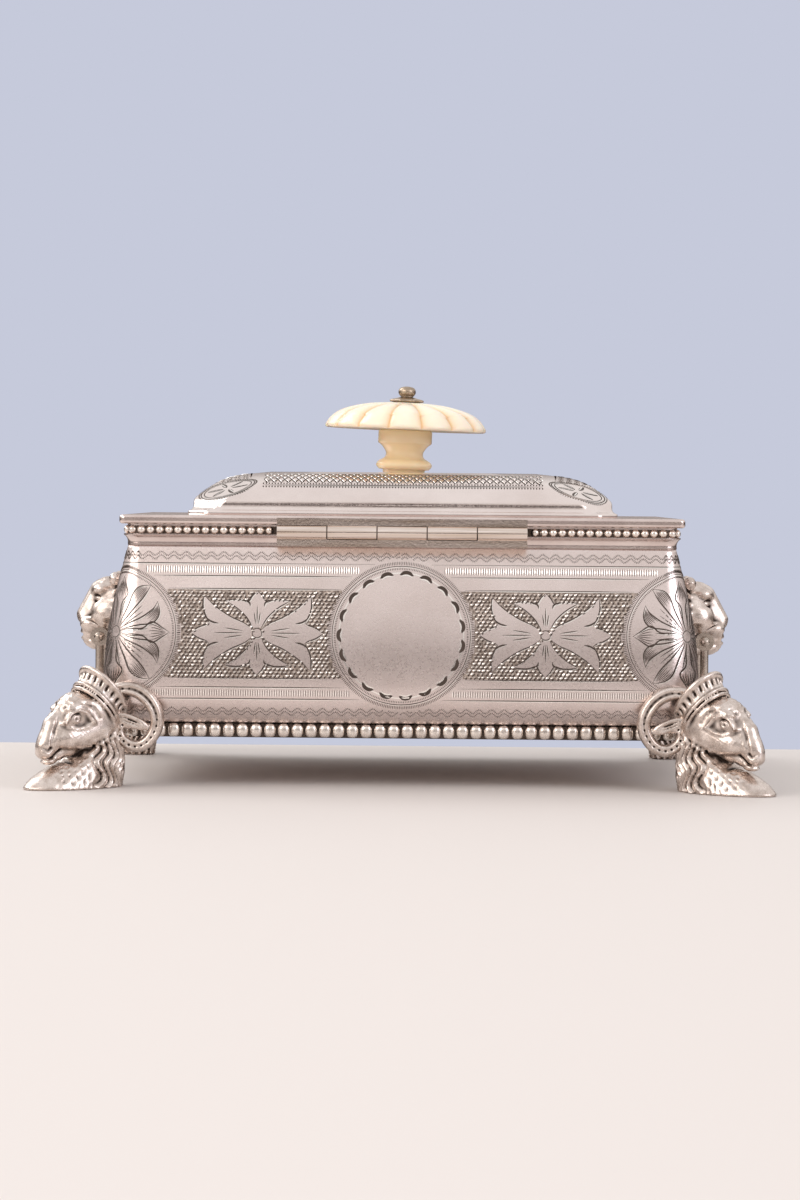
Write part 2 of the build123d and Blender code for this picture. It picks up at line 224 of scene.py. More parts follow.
def bump(tree, height, distance, strength):
    return node(tree, "ShaderNodeBump", Height=height, Distance=distance, Strength=strength).outputs[0]


def shade(tree, **inputs):
    """The shader that ends a material's tree."""
    shader = node(tree, "ShaderNodeBsdfPrincipled", **inputs)
    node(tree, "ShaderNodeOutputMaterial", Surface=shader.outputs[0])


def plate(name, light, dark, roughness, scale=60.0, scratch=0.0003, recess=None, metallic=1.0, amount=0.5,
          stretch=None):
    """Plated or cast silver: drifting tone, fine rubbing marks, and dark where polish doesn't reach."""
    material, tree, coordinates = new_material(name)
    place = coordinates["Object"]
    # stretched coordinates draw the tone out into streaks; on the hinge they are painted reflection lines
    # along the barrel
    drawn = node(tree, "ShaderNodeMapping", Vector=place, Scale=stretch).outputs[0] if stretch else place
    drift = noise(tree, drawn, scale, 5.0, Roughness=0.6)
    fine = noise(tree, place, 1800.0, 3.0)
    colour = blend(tree, remap(tree, drift, 0.35, 0.68, 0.0, amount), paint(light), paint(dark))
    rough = remap(tree, fine, 0.2, 0.8, roughness * 0.8, roughness * 1.3)
    if recess:
        low = node(tree, "ShaderNodeAttribute", {"attribute_name": "recess"}).outputs["Fac"]
        deep = remap(tree, low, 0.54, 0.92)
        colour = blend(tree, deep, colour, paint(recess))
        duller = node(tree, "ShaderNodeMath", {"operation": "MULTIPLY_ADD"}, i0=deep, i1=0.35, i2=rough)
        rough = duller.outputs[0]
    shade(tree, Base_Color=colour, Roughness=rough, Metallic=metallic, Normal=bump(tree, fine, scratch, 0.08))
    return material


# Electroplate, hand polished for a century: a warm grey with a faint pink cast
wall_plate = plate("silver plate, polished wall", "#E6D9D5", "#D0C1BB", 0.28)

runs = []
for k in range(4):
    base = [0, END_RUN, GIRTH / 2, GIRTH / 2 + END_RUN][k]
    half = (STRAIGHT_X, STRAIGHT_Y)[k % 2]
    runs += [base - half, base, base + half] + [base + half + ARC * i / 10 for i in range(1, 10)]


def carry_round(name, section, material, stands_for=(), slot="rim_silver", smooth=True):
    """A closed section of (out, height) points carried round the box."""
    points = [(*round_box(run, o)[:2], z) for run in runs for o, z in section]
    faces = grid_faces(len(runs), len(section), True, True)
    turned_out(piece(name, points, faces, material, "box", stands_for, slot, smooth))


inner_line = [(o - WALL, z) for o, z in wall_line[::-1]]
carry_round("engraved_wall", [tuple(q) for q in wall_line] + inner_line, wall_plate, ("body_shell",),
            "silver_plate")

# Engraving on the walls: lines, hatched bands, roundels, a pricked ground and flowers of four petals,
# all cut by hand with a graver. Cuts are dark with tarnish and painted shade on one side, and carry a painted
# highlight on the other.
Z_MID = 41.2             # the middle line of the engraved panels
# Dark side of a cut: tarnish, with painted shade for the depth that the flat strip lacks; bright side: a
# painted highlight.
cut_tarnish_and_shade = plate("graver cut, tarnish and painted shade", "#4F433C", "#332923", 0.5, metallic=0.5)
cut_painted_highlight = plate("graver cut, painted highlight", "#FBF6F1", "#EFE7DF", 0.2)


class Graver:
    """Cuts on one surface; spot(a, b, lift) gives a place in mm, its outward and its sideways direction."""

    def __init__(self, spot):
        self.spot = spot
        self.strips = {"dark": ([], []), "bright": ([], [])}
        self.marks = {"dark": [], "bright": []}

    def groove(self, points, width, kind="dark", lift=0.05, closed=False, shift=(0.0, 0.0)):
        """A cut along points, tapering at open ends."""
        verts, faces = self.strips[kind]
        pts = [(p + shift[0], z + shift[1]) for p, z in points]
        n, start = len(pts), len(verts)
        for i, (p, z) in enumerate(pts):
            if closed:
                before, after = pts[i - 1], pts[(i + 1) % n]
            else:
                before, after = pts[max(i - 1, 0)], pts[min(i + 1, n - 1)]
            dx, dz = after[0] - before[0], after[1] - before[1]
            size = hypot(dx, dz) or 1
            w = width / 2 if closed else width / 2 * min(1.0, 0.15 + 3.5 * min(i, n - 1 - i) / n)
            for side in (-1, 1):
                verts.append(self.spot(p - side * dz / size * w, z + side * dx / size * w, lift)[0])
        for i in range(n if closed else n - 1):
            a, b = start + 2 * i, start + 2 * ((i + 1) % n)
            faces.append((a, b, b + 1, a + 1))

    def line(self, points, width=0.26, closed=False):
        """A dark cut of tarnish and painted shade, with a painted highlight along its far side."""
        self.groove(points, width, "dark", 0.05, closed)
        self.groove(points, width * 0.9, "bright", 0.045, closed, (0.19, -0.22))

    def nick(self, a, b, angle, length, width, kind="dark", lift=0.03, depth=0.10):
        """One short leaf-shaped cut at an angle from level."""
        spot, n, side = self.spot(a, b, lift)
        up = n.cross(side).normalized()
        if up.z < 0:
            up = -up
        self.marks[kind].append((spot, side * cos(angle) + up * sin(angle), n,
                                 (length / 2, width / 2, depth)))

    def wriggle(self, points, pitch=0.62, length=0.85, width=0.24):
        """Wriggle work: the graver rocks from side to side, so a line is a row of short cuts across it."""
        travelled, due = 0.0, 0.0
        for (p0, z0), (p1, z1) in zip(points, points[1:]):
            step = hypot(p1 - p0, z1 - z0)
            while due <= travelled + step:
                f = (due - travelled) / step if step else 0
                across = atan2(z1 - z0, p1 - p0) + pi / 2
                self.nick(p0 + (p1 - p0) * f, z0 + (z1 - z0) * f, across, length, width)
                due += pitch
            travelled += step

    def finish(self, name, body):
        """Make the cuts into pieces on their body."""
        # the dark kind is tarnish with painted shade, the bright kind a painted highlight
        for kind, material in (("dark", cut_tarnish_and_shade), ("bright", cut_painted_highlight)):
            verts, faces = self.strips[kind]
            if faces:
                facing_out(piece(f"{name}_{kind}", verts, faces, material, body, (), "silver_plate"))
            if self.marks[kind]:
                set_on_points(f"{name}_marks_{kind}", cut_tree, self.marks[kind], material, body,
                              slot="silver_plate")


def facing_out(obj):
    """Turn every face of a one-sheet piece to look away from the middle of the box."""
    for polygon in obj.data.polygons:
        x, y, z = polygon.center
        if polygon.normal.dot(Vector((x, y, 0.3 * abs(z)))) < 0:
            polygon.flip()
    obj.data.update()


wall = Graver(wall_spot)


def ring(centre, z, radius, count):
    turns = [2 * pi * i / count for i in range(count)]
    return [(centre + radius * cos(a), z + radius * sin(a)) for a in turns]


# Marks: small forms set on points by Geometry Nodes; each point keeps its turn and its size
def marks_tree(name, form, segments, rings):
    """A tree that sets one small form on every point, turned and sized by the point's own attributes."""
    tree = bpy.data.node_groups.new(name, "GeometryNodeTree")
    for way, kind, label, value in (("INPUT", "Geometry", "Points", None),
                                    ("INPUT", "Int", "Segments", segments), ("INPUT", "Int", "Rings", rings),
                                    ("INPUT", "Float", "Swell", 0.0), ("INPUT", "Material", "Finish", None),
                                    ("OUTPUT", "Geometry", "Marks", None)):
        socket = tree.interface.new_socket(label, in_out=way, socket_type="NodeSocket" + kind)
        if value is not None:
            socket.default_value = value
    given = node(tree, "NodeGroupInput").outputs
    vector = {"data_type": "FLOAT_VECTOR"}
    turn, size = (node(tree, "GeometryNodeInputNamedAttribute", vector, Name=label).outputs[0]
                  for label in ("turn", "size"))
    if form == "bead":
        ball = node(tree, "GeometryNodeMeshUVSphere", Segments=given["Segments"], Rings=given["Rings"],
                    Radius=1.0)
        # worn beads are squarish: a point is scaled by a power of the sum of its fourth powers
        place = node(tree, "GeometryNodeInputPosition").outputs[0]
        squares = node(tree, "ShaderNodeVectorMath", {"operation": "MULTIPLY"}, i0=place, i1=place).outputs[0]
        fourth = node(tree, "ShaderNodeVectorMath", {"operation": "DOT_PRODUCT"}, i0=squares, i1=squares)
        grow = node(tree, "ShaderNodeMath", {"operation": "POWER"}, i0=fourth.outputs["Value"],
                    i1=given["Swell"])
        swollen = node(tree, "ShaderNodeVectorMath", {"operation": "SCALE"}, i0=place, Scale=grow.outputs[0])
        moved = node(tree, "GeometryNodeSetPosition", Geometry=ball.outputs["Mesh"],
                     Position=swollen.outputs[0])
        shape = node(tree, "GeometryNodeSetShadeSmooth", i0=moved.outputs[0]).outputs[0]
    else:
        shape = node(tree, "GeometryNodeMeshCone", Vertices=given["Segments"], Radius_Top=0.0,
                     Radius_Bottom=1.0, Depth=1.0).outputs["Mesh"]
    turned = node(tree, "FunctionNodeEulerToRotation", i0=turn).outputs[0]
    placed = node(tree, "GeometryNodeInstanceOnPoints", Points=given["Points"], Instance=shape,
                  Rotation=turned, Scale=size)
    real = node(tree, "GeometryNodeRealizeInstances", Geometry=placed.outputs[0])
    done = node(tree, "GeometryNodeSetMaterial", Geometry=real.outputs[0], Material=given["Finish"])
    node(tree, "NodeGroupOutput", Marks=done.outputs[0])
    return tree


bead_tree = marks_tree("beads on points", "bead", 12, 8)
cut_tree = marks_tree("cuts on points", "cut", 6, 1)


def set_on_points(name, tree, spots, material, body, stands_for=(), slot=None, **inputs):
    """One plain mesh of forms at spots: (place, along, outward, (length, width, height)), in mm."""
    mesh = bpy.data.meshes.new(name + "_points")
    mesh.from_pydata([tuple(Vector(s[0]) * MM) for s in spots], [], [])
    turn = mesh.attributes.new("turn", "FLOAT_VECTOR", "POINT")
    size = mesh.attributes.new("size", "FLOAT_VECTOR", "POINT")
    for i, (_, along, out, dims) in enumerate(spots):
        z = Vector(out).normalized()
        x = (Vector(along) - z * Vector(along).dot(z)).normalized()
        turn.data[i].vector = Matrix((x, z.cross(x), z)).transposed().to_euler()
        size.data[i].vector = Vector(dims) * MM
    host = in_scene(name + "_host", mesh)
    work = host.modifiers.new("marks", "NODES")
    work.node_group = tree
    inputs["Finish"] = material
    for item in tree.interface.items_tree:
        if item.in_out == "INPUT" and item.name in inputs:
            work[item.identifier] = inputs[item.name]
    bpy.context.view_layer.update()
    graph = bpy.context.evaluated_depsgraph_get()
    made = bpy.data.meshes.new_from_object(host.evaluated_get(graph), depsgraph=graph)
    made.name = name
    bpy.data.objects.remove(host)
    dress(in_scene(name, made), material, body, stands_for)


roundels = [(0, Z_MID - 0.4, 19.2), (GIRTH / 2, Z_MID - 0.4, 19.2)] + [
    (s * CORNER_RUN + k * GIRTH / 2, Z_MID, 17.3) for s in (-1, 1) for k in (0, 1)]
masks_at = [(END_RUN, Z_MID + 3, 12.5), (GIRTH - END_RUN, Z_MID + 3, 12.5)]


def free(run, z, grow=0.6, masks=True):
    """Whether a spot lies outside every roundel, and off the masks."""
    for c, cz, r in roundels + (masks_at if masks else []):
        d = (run - c + GIRTH / 2) % GIRTH - GIRTH / 2
        if hypot(d, z - cz) < r + grow:
            return False
    return True


def long_line(z):
    """A level line round the box, broken at the roundels."""
    part = []
    for run in range(int(GIRTH) + 2):
        if run < GIRTH and free(run, z, 0.9, False):
            part.append((run, z))
        elif part:
            if len(part) > 3:
                wall.line(part, 0.24)
            part = []


for level in (59.6, 56.3, 52.9, 29.2, 26.8, 23.7):
    long_line(level)
STROKES = int(GIRTH / 0.32)
# Hatched bands: strokes alternate between dark cuts of tarnish and painted shade, and painted highlights.
for low, high in ((56.7, 59.2), (24.1, 26.4)):
    middle = (low + high) / 2
    for i in range(STROKES):
        run = i * GIRTH / STROKES
        kind, width = (("dark", 0.14), ("bright", 0.22))[i % 2]
        if free(run, middle, 1.4, False):
            wall.nick(run, middle, pi / 2, high - low - 0.2, width, kind, depth=0.04)
WAVE_STEP, WAVE_LENGTH, WAVE_RISE = 0.45, 3.35, 0.55
for z0 in (62.1, 20.7):
    for drop in (0.0, 0.95):
        part = []
        for i in range(int(GIRTH / WAVE_STEP)):
            spot = (i * WAVE_STEP, z0 - drop + WAVE_RISE * sin(i * WAVE_STEP * 2 * pi / WAVE_LENGTH))
            if free(*spot, 1.0, False):
                part.append(spot)
            elif part:
                wall.wriggle(part, 0.45, 0.6, 0.22)
                part = []
        if part:
            wall.wriggle(part, 0.45, 0.6, 0.22)

# Roundels: the two large ones are plain discs inside a cut rim; the corner ones carry palmettes
CRESCENTS = 19
for centre, z, radius in roundels:
    for r, length in ((radius, 1.3), (radius - 1.5, 0.7)):
        circle = ring(centre, z, r, 96)
        wall.wriggle(circle + circle[:1], 0.46, length * 0.85, 0.2)
    wall.line(ring(centre, z, radius - 0.8, 96), 0.18, True)
    if radius > 18:
        # a painted highlight ring inside the cut rim
        wall.groove(ring(centre, z, radius - 2.6, 96), 0.35, "bright", 0.045, True)
        for i in range(CRESCENTS):
            arc = []
            for j in range(-4, 5):
                r, a = radius - 2.9 + 0.35 * cos(j * 0.5), 2 * pi * (i + 0.5) / CRESCENTS + j * 0.028
                arc.append((centre + r * cos(a), z + r * sin(a)))
            # each crescent is a dark cut of tarnish and painted shade, with a painted highlight drawn in
            # along its inner edge
            wall.groove(arc, 1.25, "dark", 0.055)
            drawn_in = [(centre + (p - centre) * 0.966, z + (q - z) * 0.966) for p, q in arc]
            wall.groove(drawn_in, 0.4, "bright", 0.06)

# Pricked ground of the panels: small square patches that lie a fiftieth of a millimetre over the wall
ground_points, ground_faces, ground_at = [], [], {}
CELL, GROUND_Z, GROUND_ROWS = 0.75, 29.4, 31


def ground_corner(i, j):
    if (i, j) not in ground_at:
        ground_at[i, j] = len(ground_points)
        ground_points.append(wall_spot(i * CELL, GROUND_Z + j * CELL, 0.02)[0])
    return ground_at[i, j]


for i in range(int(GIRTH / CELL)):
    for j in range(GROUND_ROWS):
        if free((i + 0.5) * CELL, GROUND_Z + (j + 0.5) * CELL, 0.4):
            ground_faces.append([ground_corner(i + a, j + b) for a, b in ((0, 0), (1, 0), (1, 1), (0, 1))])


def pricked():
    """Matted silver between the punch teeth: tarnish stays in it, so it is darker than the wall."""
    material, tree, coordinates = new_material("silver plate, pricked ground")
    place = coordinates["UV"]
    grains = node(tree, "ShaderNodeTexVoronoi", Vector=place, Scale=1100.0).outputs["Distance"]
    clouds = noise(tree, place, 90.0, 4.0)
    tone = node(tree, "ShaderNodeMath", {"operation": "MULTIPLY"}, i0=grains, i1=clouds).outputs[0]
    colour = blend(tree, remap(tree, tone, 0.05, 0.42), paint("#6F635B"), paint("#B4A69C"))
    shade(tree, Base_Color=colour, Roughness=0.4, Metallic=0.95, Normal=bump(tree, grains, 0.0003, 0.6))
    return material


ground = piece("pricked_ground", ground_points, ground_faces, pricked(), "box", (), "silver_plate")
layer = ground.data.uv_layers.new(name="run_and_height")
place_of = {index: key for key, index in ground_at.items()}
for loop in ground.data.loops:
    i, j = place_of[loop.vertex_index]
    layer.data[loop.index].uv = (i * CELL * MM, j * CELL * MM)

# Flowers: four fleur-shaped petals of plain metal left standing in the pricked ground. Each half outline runs
# (along, across) from the hub by the side point and the curl to the tip; two numbers give the breaks.
long_petal = ([(1.4, 1.1), (3.6, 2.7), (6.3, 3.9), (8.9, 5.4), (11.3, 7.1), (14.2, 9.9), (14.5, 7.6),
               (14.1, 5.4), (13.3, 3.7), (12.7, 2.7), (13.3, 2.3), (15.4, 1.5), (17.5, 0.05)], 5, 9,
              [(10.2, 2.5), (11.4, 2.7), (12.6, 3.2), (13.3, 3.9)])
short_petal = ([(1.4, 1.1), (3.6, 2.4), (5.3, 3.9), (6.9, 5.9), (8.5, 8.6), (8.8, 7.2), (8.9, 5.6),
                (8.7, 4.0), (8.1, 2.9), (8.4, 2.3), (9.6, 1.5), (11.0, 0.05)], 4, 8,
               [(7.0, 1.9), (7.8, 2.0), (8.5, 2.9), (8.7, 3.9)])
petal_points, petal_faces, petal_outlines = [], [], []


def leaf_shape(outline, centre, z, lift=0.04):
    """Fill a closed outline on the wall, with points every 2 mm inside, so that it follows the curve."""
    edge = [Vector(p) for p in outline]
    low = [min(p[k] for p in edge) for k in (0, 1)]
    high = [max(p[k] for p in edge) for k in (0, 1)]
    columns, rows = (np.arange(low[k] + 1, high[k], 2.0) for k in (0, 1))
    inside = [Vector((x, y)) for x in columns for y in rows]
    border = [(i, (i + 1) % len(edge)) for i in range(len(edge))]
    found = geometry.delaunay_2d_cdt(edge + inside, border, [list(range(len(edge)))], 1, 1e-4)
    start = len(petal_points)
    petal_points.extend(wall_spot(centre + p.x, z + p.y, lift)[0] for p in found[0])
    petal_faces.extend(tuple(start + i for i in f) for f in found[2])
    petal_outlines.append(np.array([(centre % GIRTH + x, z + y) for x, y in outline]))


def petal(centre, form, turn, narrowed):
    """One petal, turned about the flower's middle: its plate, its cut outline, its curls and its veins."""
    half, corner_at, curl_at, hook = form

    def turned(points, flip=1):
        return [((a * cos(turn) - flip * b * sin(turn)) * narrowed, a * sin(turn) + flip * b * cos(turn))
                for a, b in points]

    def cut(points, width, flip=1):
        wall.line([(centre + a, Z_MID + b) for a, b in turned(points, flip)], width)

    parts = [[tuple(q) for q in smooth_run(half[i:j + 1], 4 * (j + 1 - i))]
             for i, j in ((0, corner_at), (corner_at, curl_at), (curl_at, len(half) - 1))]
    whole = parts[0] + parts[1][1:] + parts[2][1:]
    leaf_shape(turned(whole) + turned(whole, -1)[::-1][1:], centre, Z_MID)
    for flip in (1, -1):
        for part, width in zip(parts, (0.30, 0.40, 0.34)):
            cut(part, width, flip)
        cut([tuple(q) for q in smooth_run(hook, 10)], 0.46, flip)
    reach = half[-1][0]
    for k in (-1, 0, 1):
        far = reach * (0.5 if k else 0.66)
        cut([(d, d * 0.15 * k) for d in np.linspace(0.22 * reach, far, 6)], 0.26)


def hub(centre, z, radius):
    leaf_shape(ring(0, 0, radius, 20), centre, z, 0.05)
    wall.line(ring(centre, z, radius, 20), 0.22, True)


def flower(centre, narrowed):
    for form, turn in ((long_petal, 0), (short_petal, pi / 2), (long_petal, pi), (short_petal, 3 * pi / 2)):
        petal(centre, form, turn, narrowed)
    hub(centre, Z_MID, 1.25)


for middles, beside, narrowed in (((0, GIRTH / 2), 38.4, 1.0), ((END_RUN, GIRTH - END_RUN), 25.5, 0.62)):
    for middle in middles:
        for side in (-1, 1):
            flower(middle + side * beside, narrowed)

# Palmettes of the corner roundels: four spear-shaped petals, and between them pairs that curl towards each
# other. Each is drawn by its two edges, from the hub to the tip, and hatched between them near the tip.
spear = ([(1.6, 0.25), (5.0, 0.9), (8.2, 1.3), (9.8, 2.7), (12.2, 1.7), (14.8, 0.0)],
         [(1.6, -0.25), (5.0, -0.9), (8.2, -1.3), (9.8, -2.7), (12.2, -1.7), (14.8, 0.0)])
low_curl = ([(1.5, 0.9), (4.1, 2.4), (6.9, 3.7), (9.2, 5.2), (10.7, 6.6), (11.5, 8.2)],
            [(1.7, 0.5), (4.5, 1.4), (7.6, 2.0), (10.3, 2.5), (11.9, 4.4), (11.5, 8.2)])
high_curl = ([(0.9, 1.6), (2.4, 4.8), (3.6, 7.6), (4.6, 10.2), (6.4, 11.9), (9.6, 12.4)],
             [(1.2, 1.4), (3.2, 3.8), (5.3, 6.4), (7.0, 8.3), (8.4, 10.2), (9.6, 12.4)])


def palmette_leaf(centre, z, edges, change):
    """One engraved leaf; change turns or mirrors its points."""
    lines = [smooth_run(edge, 24) for edge in edges]
    for line in lines:
        wall.line([(centre + x, z + y) for x, y in (change(*q) for q in line)], 0.38)
    for k in range(1, 7):
        mixed = lines[0] * k / 7 + lines[1] * (1 - k / 7)
        first, last = 13 + k % 2, 22 - abs(k - 3) // 2
        wall.groove([(centre + x, z + y) for x, y in (change(*q) for q in mixed[first:last])], 0.2)


for centre, z, _ in roundels[2:]:
    for change in (lambda a, b: (a, b), lambda a, b: (-a, b), lambda a, b: (b, a), lambda a, b: (b, -a)):
        palmette_leaf(centre, z, spear, change)
    for sx, sz in ((1, 1), (1, -1), (-1, 1), (-1, -1)):
        for edges in (low_curl, high_curl):
            palmette_leaf(centre, z, edges, lambda a, b: (sx * a, sz * b))
        for turn, near, far in ((0.10, 3.0, 9.0), (0.62, 3.0, 9.5), (0.76, 3.2, 10.5), (1.34, 3.0, 9.0)):
            stalk = [(centre + sx * d * cos(turn), z + sz * d * sin(turn)) for d in np.linspace(near, far, 6)]
            wall.line(stalk, 0.24)
    hub(centre, z, 1.5)


# The ground is pricked with a pointed punch: rows of small raised teeth, staggered, each beside its own pit
def inside_outline(point, outline):
    x, y = point
    a, b = outline, np.roll(outline, -1, 0)
    reach = (b[:, 0] - a[:, 0]) * (y - a[:, 1]) / (b[:, 1] - a[:, 1] + 1e-12) + a[:, 0]
    crosses = ((a[:, 1] > y) != (b[:, 1] > y)) & (x < reach)
    return crosses.sum() % 2 == 1


boxes = [(o.min(0) - 0.3, o.max(0) + 0.3, o) for o in petal_outlines]
chance = np.random.default_rng(7)
TOOTH, ROW = 1.22, 0.92
teeth = Graver(wall_spot)
for j in range(25):
    z = 29.9 + j * ROW
    for i in range(int(GIRTH / TOOTH)):
        run = (i + 0.5 * (j % 2)) * TOOTH + 0.06 * chance.standard_normal()
        if not free(run, z, 0.7):
            continue
        if any(lo[0] < run < hi[0] and lo[1] < z < hi[1] and inside_outline((run, z), o)
               for lo, hi, o in boxes):
            continue
        lean = 0.45 + 0.25 * chance.standard_normal()
        size = 1 + 0.18 * chance.standard_normal()
        # each tooth is a painted highlight; the pit beside it is a dark mark of tarnish and painted shade
        teeth.nick(run, z, lean, 0.76 * size, 0.46 * size, "bright", 0.02, 0.2)
        teeth.nick(run + 0.34, z - 0.34, lean + 0.3, 1.0 * size, 0.46, "dark", 0.03, 0.05)

facing_out(piece("plain_petals", petal_points, petal_faces, wall_plate, "box", (), "silver_plate"))
facing_out(ground)
wall.finish("engraving", "box")
teeth.finish("pricked_teeth", "box")

# Rim: cast moulding soldered round the mouth, with a row of small beads; a row of squarish beads closes the
# foot of the wall. All one metal with the wall, a little rosier where the plate is thin.
rim_plate = plate("silver plate, worn rim", "#E6D8D2", "#C0AAA4", 0.2, 90.0, 0.0001)
# The beads are painted lighter than the rim's plate: a painted sheen for the reflections that wrap round
# them.
bead_plate = plate("silver plate, beads", "#F0E8E0", "#CDBFB5", 0.26, 300.0)
# A dark plate: behind the beads it is painted shade between them; on the hinge it marks the dark knuckle
# joints.
joint_dark_and_bead_shade = plate("tarnished silver behind the beads", "#5E524B", "#40362F", 0.45, 200.0)


def keep_node(name, material):
    """A CAD node that stays as it is, with the material of its own metal."""
    obj = next(o for o in bpy.data.objects if o.name == name)
    if not obj.material_slots:
        obj.data.materials.append(material)
    for place in obj.material_slots:
        place.material = material


keep_node("rim_moulding", rim_plate)
keep_node("base_plate", rim_plate)
PATH = 4 * (STRAIGHT_X + STRAIGHT_Y) + 2 * pi * CORNER


def even_run(share):
    """The wall's run for an even share of the way round the mouth's line, whose corners are shorter."""
    at, run = share % 1 * PATH, 0.0
    turn = (pi / 2 * CORNER, ARC)
    half_x, long_x, long_y = ((length, length) for length in (STRAIGHT_X, 2 * STRAIGHT_X, 2 * STRAIGHT_Y))
    for length, mapped in [half_x, turn, long_y, turn, long_x, turn, long_y, turn, half_x]:
        if at <= length:
            return run + at / length * mapped
        at -= length
        run += mapped
    return run


def bead_spots(pitch, out, z, dims, open_half=0.0):
    """Places for a row of beads; none stand within open_half of the middle of the hinge side."""
    count = round(PATH / pitch)
    spots = []
    for i in range(count):
        x, y, turn = round_box(even_run((i + 0.5) / count), out)
        if not (abs(x) < open_half and y < 0):
            spots.append(((x, y, z), (cos(turn), sin(turn), 0), (0, 0, 1), dims))
    return spots


set_on_points("rim_beads", bead_tree, bead_spots(2.45, 0.18, 68.45, (1.17, 1.1, 1.15), 34.2), bead_plate,
              "box", ("rim_bead_row",), "rim_silver")
set_on_points("foot_beads", bead_tree, bead_spots(3.68, 0.0, 15.0, (1.66, 1.7, 1.9)), bead_plate, "box",
              ("bottom_bead_row",), "rim_silver", Segments=16, Rings=12, Swell=-0.16)
# Dark strips behind both rows of beads: painted shade between the beads.
carry_round("foot_bead_strip", [(-1.6, 13.0), (-0.4, 13.0), (-0.2, 13.4), (-0.2, 16.6), (-0.4, 17.0),
                                (-1.6, 17.0)], joint_dark_and_bead_shade, smooth=False)
carry_round("rim_bead_strip", [(0.1, 67.4), (0.3, 67.4), (0.3, 69.5), (0.1, 69.5)], joint_dark_and_bead_shade, smooth=False)

# Lid: a flat cast flange, and a raised dome with canted corners, planished and engraved by hand.
keep_node("lid_flange", rim_plate)
DOME_Z, DOME_X, DOME_Y, DOME_H, CANT, DOME_WALL = 72.4, 58.5, 42.0, 12.0, 5.0, 1.2
dome_levels = [(0.0, 0.0, 1.0), (1.0, 0.0, 1.0), (1.8, 1.2, 1.3), (DOME_H * 0.32, 1.3, 1.7),
               (DOME_H * 0.48, 2.9, 2.1), (DOME_H * 0.66, 5.6, 2.5), (DOME_H * 0.82, 9.3, 2.8),
               (DOME_H * 0.93, 14.6, 2.9), (DOME_H, 21.5, 2.6)]
# The dome's plate is painted lighter than the wall's, though it is the same plate: a painted sheen.
dome_plate = plate("silver plate, planished dome", "#F0E5E0", "#DACCC6", 0.14)


def dome_ring(pulled, cut, inset=0.0):
    """The eight-sided outline at one level, its corners softened, always with the same number of points."""
    hx, hy, c = DOME_X - pulled - inset, DOME_Y - pulled - inset, CANT * cut
    corners = [(hx, -hy + c), (hx, hy - c), (hx - c, hy), (c - hx, hy), (-hx, hy - c), (-hx, c - hy),
               (c - hx, -hy), (hx - c, -hy)]
    points = []
    for i, corner in enumerate(corners):
        a, here, b = (Vector(p) for p in (corners[i - 1], corner, corners[(i + 1) % 8]))
        near, far = here + (a - here).normalized() * 1.2, here + (b - here).normalized() * 1.2
        for f in (0, 0.25, 0.5, 0.75, 1):
            points.append(tuple(near * (1 - f)**2 + here * 2 * f * (1 - f) + far * f**2))
        points.append(tuple(here.lerp(b, 0.5)))
    return points


fine_levels = smooth_run([(pulled, h) for h, pulled, _ in dome_levels[1:]], 40)
cuts_at = np.interp(fine_levels[:, 1], [l[0] for l in dome_levels], [l[2] for l in dome_levels])
profile = [(0.0, 0.0, 1.0)] + [(min(h, DOME_H), p, c) for (p, h), c in zip(fine_levels, cuts_at)]
outside = [(x, y, DOME_Z + h) for h, pulled, cut in profile for x, y in dome_ring(max(pulled, 0), cut)]
inside = [(x, y, DOME_Z + h - DOME_WALL * min(max(h - 1.0, 0) / 3, 1)) for h, pulled, cut in profile
          for x, y in dome_ring(max(pulled, 0), cut, DOME_WALL)]
per, top = len(dome_ring(0, 1)), len(outside)
sheet = grid_faces(len(profile), per, False, True) + [tuple(range(top - per, top))]
foot = [(i, top + i, top + (i + 1) % per, (i + 1) % per) for i in range(per)]
back = [tuple(top + i for i in f[::-1]) for f in sheet]
turned_out(piece("lid_dome_planished", outside + inside, sheet + back + foot, dome_plate, "lid",
                 ("lid_dome",), "silver_plate"))

# Engraving on the dome: a line and a dotted row above the plain belt, a band of crossed cuts, and a medallion
# with six leaf-shaped cuts on each canted corner. Heights run up each facet from its foot.
dome_h = np.array([q[0] for q in profile])
dome_p = np.array([max(q[1], 0) for q in profile])
dome_c = np.array([q[2] for q in profile]) * CANT


def dome_base(face, h):
    p, c = np.interp(h, dome_h, dome_p), np.interp(h, dome_h, dome_c)
    hx, hy = DOME_X - p, DOME_Y - p
    out = [(0, -hy), (hx - c / 2, c / 2 - hy), (hx, 0), (hx - c / 2, hy - c / 2), (0, hy),
           (c / 2 - hx, hy - c / 2), (-hx, 0), (c / 2 - hx, c / 2 - hy)]
    return Vector((*out[face], DOME_Z + h))


climb_h = np.linspace(0.0, DOME_H, 120)
climbs = []
for face in range(8):
    stops = [dome_base(face, h) for h in climb_h]
    climbs.append(np.r_[0, np.cumsum([(b - a).length for a, b in zip(stops, stops[1:])])])


def dome_spot(face, along, climb, lift):
    """A point on one facet: along it from its middle, and up its slope."""
    h = float(np.interp(climb, climbs[face], climb_h))
    turn = face * pi / 4
    side = Vector((cos(turn), sin(turn), 0))
    rise = dome_base(face, min(h + 0.15, DOME_H)) - dome_base(face, max(h - 0.15, 0))
    n = side.cross(rise).normalized()
    return dome_base(face, h) + side * along + n * lift, n, side


